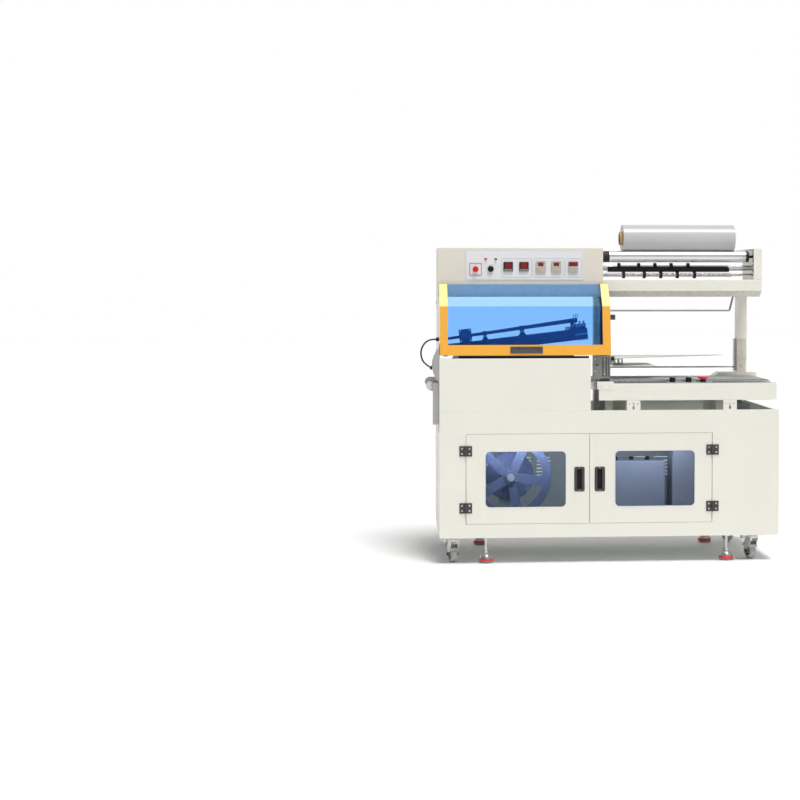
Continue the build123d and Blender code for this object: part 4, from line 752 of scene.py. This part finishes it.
def on_jaw(reach, rise, depth):
    """A point on the open jaw: along it from the shaft and up from it, in millimetres."""
    along, up = JAW_SHAFT
    return P(along + reach * cos(JAW_TILT) - rise * sin(JAW_TILT), depth,
             up + reach * sin(JAW_TILT) + rise * cos(JAW_TILT))


# Jaw: springs on its studs, the comb of blades and bolts at its end, clamp screws and the clips on its edge
ALONG = Vector((cos(JAW_TILT), 0, sin(JAW_TILT)))
ABOVE = Vector((-sin(JAW_TILT), 0, cos(JAW_TILT)))
jaw_kit = Kit("jaw_details", "jaw", jaw_blue, zinc, slot="jaw_paint")
for reach in (624, 642, 660):
    coils = [(0.0092, 0.0095)]
    for i in range(5):
        coils += [(0.0108, 0.0100 + i * 0.0032), (0.0092, 0.0116 + i * 0.0032)]
    coils += [(0.0074, 0.0255), (0.0074, 0.0095), (0.0092, 0.0095)]
    jaw_kit.turn(on_jaw(reach, 30, 59), ABOVE, coils, 20, 1)
    jaw_kit.turn(on_jaw(reach, 62, 59), ABOVE, ((0.0031, 0), (0.0054, 0.0002), (0.0054, 0.0044),
                                                (0.0031, 0.0046)), 6, 1, smooth=False)
for i in range(6):
    reach = 616 + 9 * i
    tip = 0.012 + 0.002 * (i % 2)
    blade = [(-0.0011, -0.008), (0.0011, -0.008), (0.0016, 0.006), (0.0004, tip), (-0.0011, 0.008)]
    if i < 3:
        jaw_kit.plate(on_jaw(reach, 92, 56), ALONG, ABOVE, blade, 0.005)
    lower = [(a, -b * 0.6) for a, b in blade][::-1]
    jaw_kit.plate(on_jaw(reach + 8, -17, JAW_FRONT), ALONG, ABOVE, lower, 0.004)
    hex_bolt(jaw_kit, on_jaw(618 + 9.6 * i, 6, JAW_FRONT), FRONT, 0.0034, 1)
for reach in (80, 210, 345, 480, 590):
    hex_bolt(jaw_kit, on_jaw(reach, 18, JAW_FRONT), FRONT, 0.0040, 0)
for depth in (120, 240, 360, 425):
    hex_bolt(jaw_kit, on_jaw(646, 32, depth), ABOVE, 0.0045, 1)
for post in (192, 367, 606):
    hex_bolt(jaw_kit, on_jaw(post, 50, 46), FRONT, 0.0036, 1)
for reach in range(60, 600, 60):
    jaw_kit.plate(on_jaw(reach, -9, JAW_FRONT), ALONG, ABOVE, rounded(0.018, 0.004, 0.001, 3), 0.0009)
jaw_kit.turn(P(JAW_SHAFT[0], JAW_FRONT - 0.1, JAW_SHAFT[1]), FRONT,
             ((0.0190, 0), (0.0190, 0.0014), (0.0165, 0.0024), (0.0070, 0.0024), (0.0062, 0.0012),
              (0, 0.0010)), 32, 1)
jaw_kit.done()

# Gate: clamp screws and the sensor on its ear
gate = Kit("gate_details", "frame", screw_steel, black_plastic, slot="bright_steel")
for place, height in ((731, 900), (731, 958), (775, 885), (775, 955)):
    pan_screw(gate, P(place, 28, height), FRONT, 0.0034)
gate.box(P(806, 22, 950), P(820, 28.1, 966), 0.0012, 1)
gate.turn(P(813, 22, 958), FRONT, ((0.0042, -0.0002), (0.0042, 0.0014), (0.0030, 0.0018), (0, 0.0018)), 20, 1)
gate.done()

# Belt joints: a row of small hooks across each belt
lacing = Kit("belt_lacing", "frame", screw_steel, slot="belt_grey")
for place in (300, 1240):
    for i in range(38):
        depth = 101 + 8 * i
        lacing.box(P(place - 5, depth, BELT_TOP - 0.1), P(place + 5, depth + 4, BELT_TOP + 0.5), 0.0002)
lacing.done()

# Casters: bolts of their plates, swivel rings and axle nuts
CASTERS = {"front_left": (68, 70, 102), "front_right": (1489, 70, 105), "rear_left": (68, 565, 98),
           "rear_right": (1489, 565, 108)}
plate_bolts = Kit("caster_plate_bolts", "frame", screw_steel, slot="zinc_steel")
for corner, (place, depth, turn) in CASTERS.items():
    for side, end in ((-1, -1), (-1, 1), (1, -1), (1, 1)):
        hex_bolt(plate_bolts, P(place + side * 36, depth + end * 29, 119), -UP, 0.0042)
    trail = Vector((cos(radians(turn)), sin(radians(turn)), 0))
    axle = Vector((-trail.y, trail.x, 0))
    fork = Kit(f"caster_trim_{corner}", f"fork_{corner}", screw_steel, dark_grey_plastic, slot="zinc_steel")
    fork.turn(P(place, depth, 104), UP, ((0.0243, 0), (0.0272, 0.0015), (0.0278, 0.0045), (0.0272, 0.0085),
                                         (0.0243, 0.0100)), 36)
    hub = P(place, depth, AXLE_HEIGHT) + trail * 0.020
    for side in (-1, 1):
        out = axle * side
        fork.turn(hub + out * 0.0212, out, ((0.0095, 0), (0.0095, 0.0010), (0.0072, 0.0012)), 24, 1)
        fork.turn(hub + out * 0.0212, out, ((0.0072, 0.0010), (0.0072, 0.0055), (0.0062, 0.0064),
                                            (0, 0.0066)), 6, 1, smooth=False)
    fork.done()
    wheel = Kit(f"wheel_trim_{corner}", f"wheel_{corner}", dark_grey_plastic, slot="wheel_rubber")
    for side in (-1, 1):
        wheel.turn(hub + axle * side * 0.0118, axle * side,
                   ((0.0240, 0), (0.0240, 0.0006), (0.0190, 0.0012), (0.0125, 0.0006), (0.0125, 0)), 32)
    wheel.done()
plate_bolts.done()

# Behind the windows: hub screws of the reel, lids and glands of the enclosures, fins of the gear motors
reel = Kit("reel_hub_screws", "reel", screw_steel, slot="bright_steel")
reel_along, reel_up = REEL_AXIS
for i in range(5):
    turn = radians(36 + 72 * i)
    pan_screw(reel, P(reel_along + 30 * cos(turn), 150, reel_up + 30 * sin(turn)), FRONT, 0.004)
reel.turn(P(reel_along, 149.9, reel_up), FRONT, ((0.0190, 0), (0.0190, 0.0020), (0.0170, 0.0030),
                                                 (0.0130, 0.0030)), 32)
reel.done()
inner = Kit("enclosure_details", "frame", enclosure_grey, black_plastic, screw_steel, motor_grey,
            slot="box_grey")
FLOOR_TOP = 127
for start, end, top in ((790, 1104, 450), (1140, 1262, 600)):
    width, height = end - start - 18, top - FLOOR_TOP - 18
    lid = P((start + end) / 2, 250, (FLOOR_TOP + top) / 2)
    inner.plate(lid, RIGHTWARD, UP, rounded(width / 1000, height / 1000, 0.005), 0.003)
    for side, end_of in ((-1, -1), (-1, 1), (1, -1), (1, 1)):
        corner = Vector((side * (width / 2 - 9), -3, end_of * (height / 2 - 9))) / 1000
        pan_screw(inner, lid + corner, FRONT, 0.0036, 2)
    for i in range(3):
        base = P(start + (end - start) * (0.25 + 0.25 * i), 320, top)
        inner.turn(base, UP, ((0.011, -0.0002), (0.011, 0.006)), 6, 1, smooth=False)
        inner.turn(base, UP, ((0.0095, 0.006), (0.0095, 0.013), (0.0070, 0.016), (0, 0.0162)), 20, 1)
for place in (150, 1450):
    for i in range(11):
        inner.turn(P(place, 200 + 13 * i, 696), REAR, ((0.0415, 0), (0.0465, 0.0004), (0.0465, 0.0024),
                                                       (0.0415, 0.0028)), 40, 3)
    inner.box(P(place - 24, 225, 735), P(place + 24, 285, 756), 0.002, 3)
    pan_screw(inner, P(place - 16, 235, 756), UP, 0.003, 2)
    pan_screw(inner, P(place + 16, 275, 756), UP, 0.003, 2)
inner.done()

# Floor and studio: white behind, dimmer in front and to the left, with a wide sun from high in front
floor_mesh = bpy.data.meshes.new("studio_floor")
WIDE = 30
floor_mesh.from_pydata([(-WIDE, -WIDE, 0), (WIDE, -WIDE, 0), (WIDE, WIDE, 0), (-WIDE, WIDE, 0)], [],
                       [(0, 1, 2, 3)])
floor = bpy.data.objects.new("studio_floor", floor_mesh)
scene.collection.objects.link(floor)
floor_mesh.materials.append(Shader("studio_floor", (0.93, 0.93, 0.93), 0.75).material)

world = bpy.data.worlds.new("studio")
scene.world = world
world.use_nodes = True
sky = world.node_tree
towards = sky.nodes.new("ShaderNodeTexCoord")
parts = sky.nodes.new("ShaderNodeSeparateXYZ")
sky.links.new(towards.outputs["Generated"], parts.inputs[0])
shades = []
for direction, stops in ((parts.outputs[1], ((0.0, 0.38), (0.62, 0.38), (0.86, 1.0))),
                         (parts.outputs[0], ((0.0, 0.08), (0.62, 0.95)))):
    spread = sky.nodes.new("ShaderNodeMapRange")
    spread.inputs["From Min"].default_value = -1
    sky.links.new(direction, spread.inputs["Value"])
    shades.append(colour_ramp(sky, spread.outputs["Result"], stops))
# The dimming from right to left leaves out the backdrop behind the machine
BACKDROP_FROM = 0.6
aside = sky.nodes.new("ShaderNodeMath")
aside.operation = "LESS_THAN"
aside.inputs[1].default_value = BACKDROP_FROM
sky.links.new(parts.outputs[1], aside.inputs[0])
dimmed = mixed_colour(sky, aside.outputs[0], *shades, "MULTIPLY")
sky.links.new(dimmed, sky.nodes["Background"].inputs["Color"])
scene.view_settings.view_transform = "Standard"

sun_data = bpy.data.lights.new("sun", "SUN")
sun_data.energy = 2.6
sun_data.angle = radians(22)
sun = bpy.data.objects.new("sun", sun_data)
sun.rotation_euler = Vector((0.15, -0.36, 0.92)).to_track_quat("Z", "Y").to_euler()
scene.collection.objects.link(sun)

# A little light inside each bay, so that what stands behind the tinted windows shows
for place, watts in ((402, 1.6), (1010, 1.45)):
    bay_data = bpy.data.lights.new("bay_light", "AREA")
    bay_data.shape = "RECTANGLE"
    bay_data.size, bay_data.size_y = 0.44, 0.06
    bay_data.energy = watts
    bay_light = bpy.data.objects.new("bay_light", bay_data)
    bay_light.location = P(place, 50, 600)
    bay_light.rotation_euler = Vector((0, -0.7, 0.7)).to_track_quat("Z", "Y").to_euler()
    scene.collection.objects.link(bay_light)
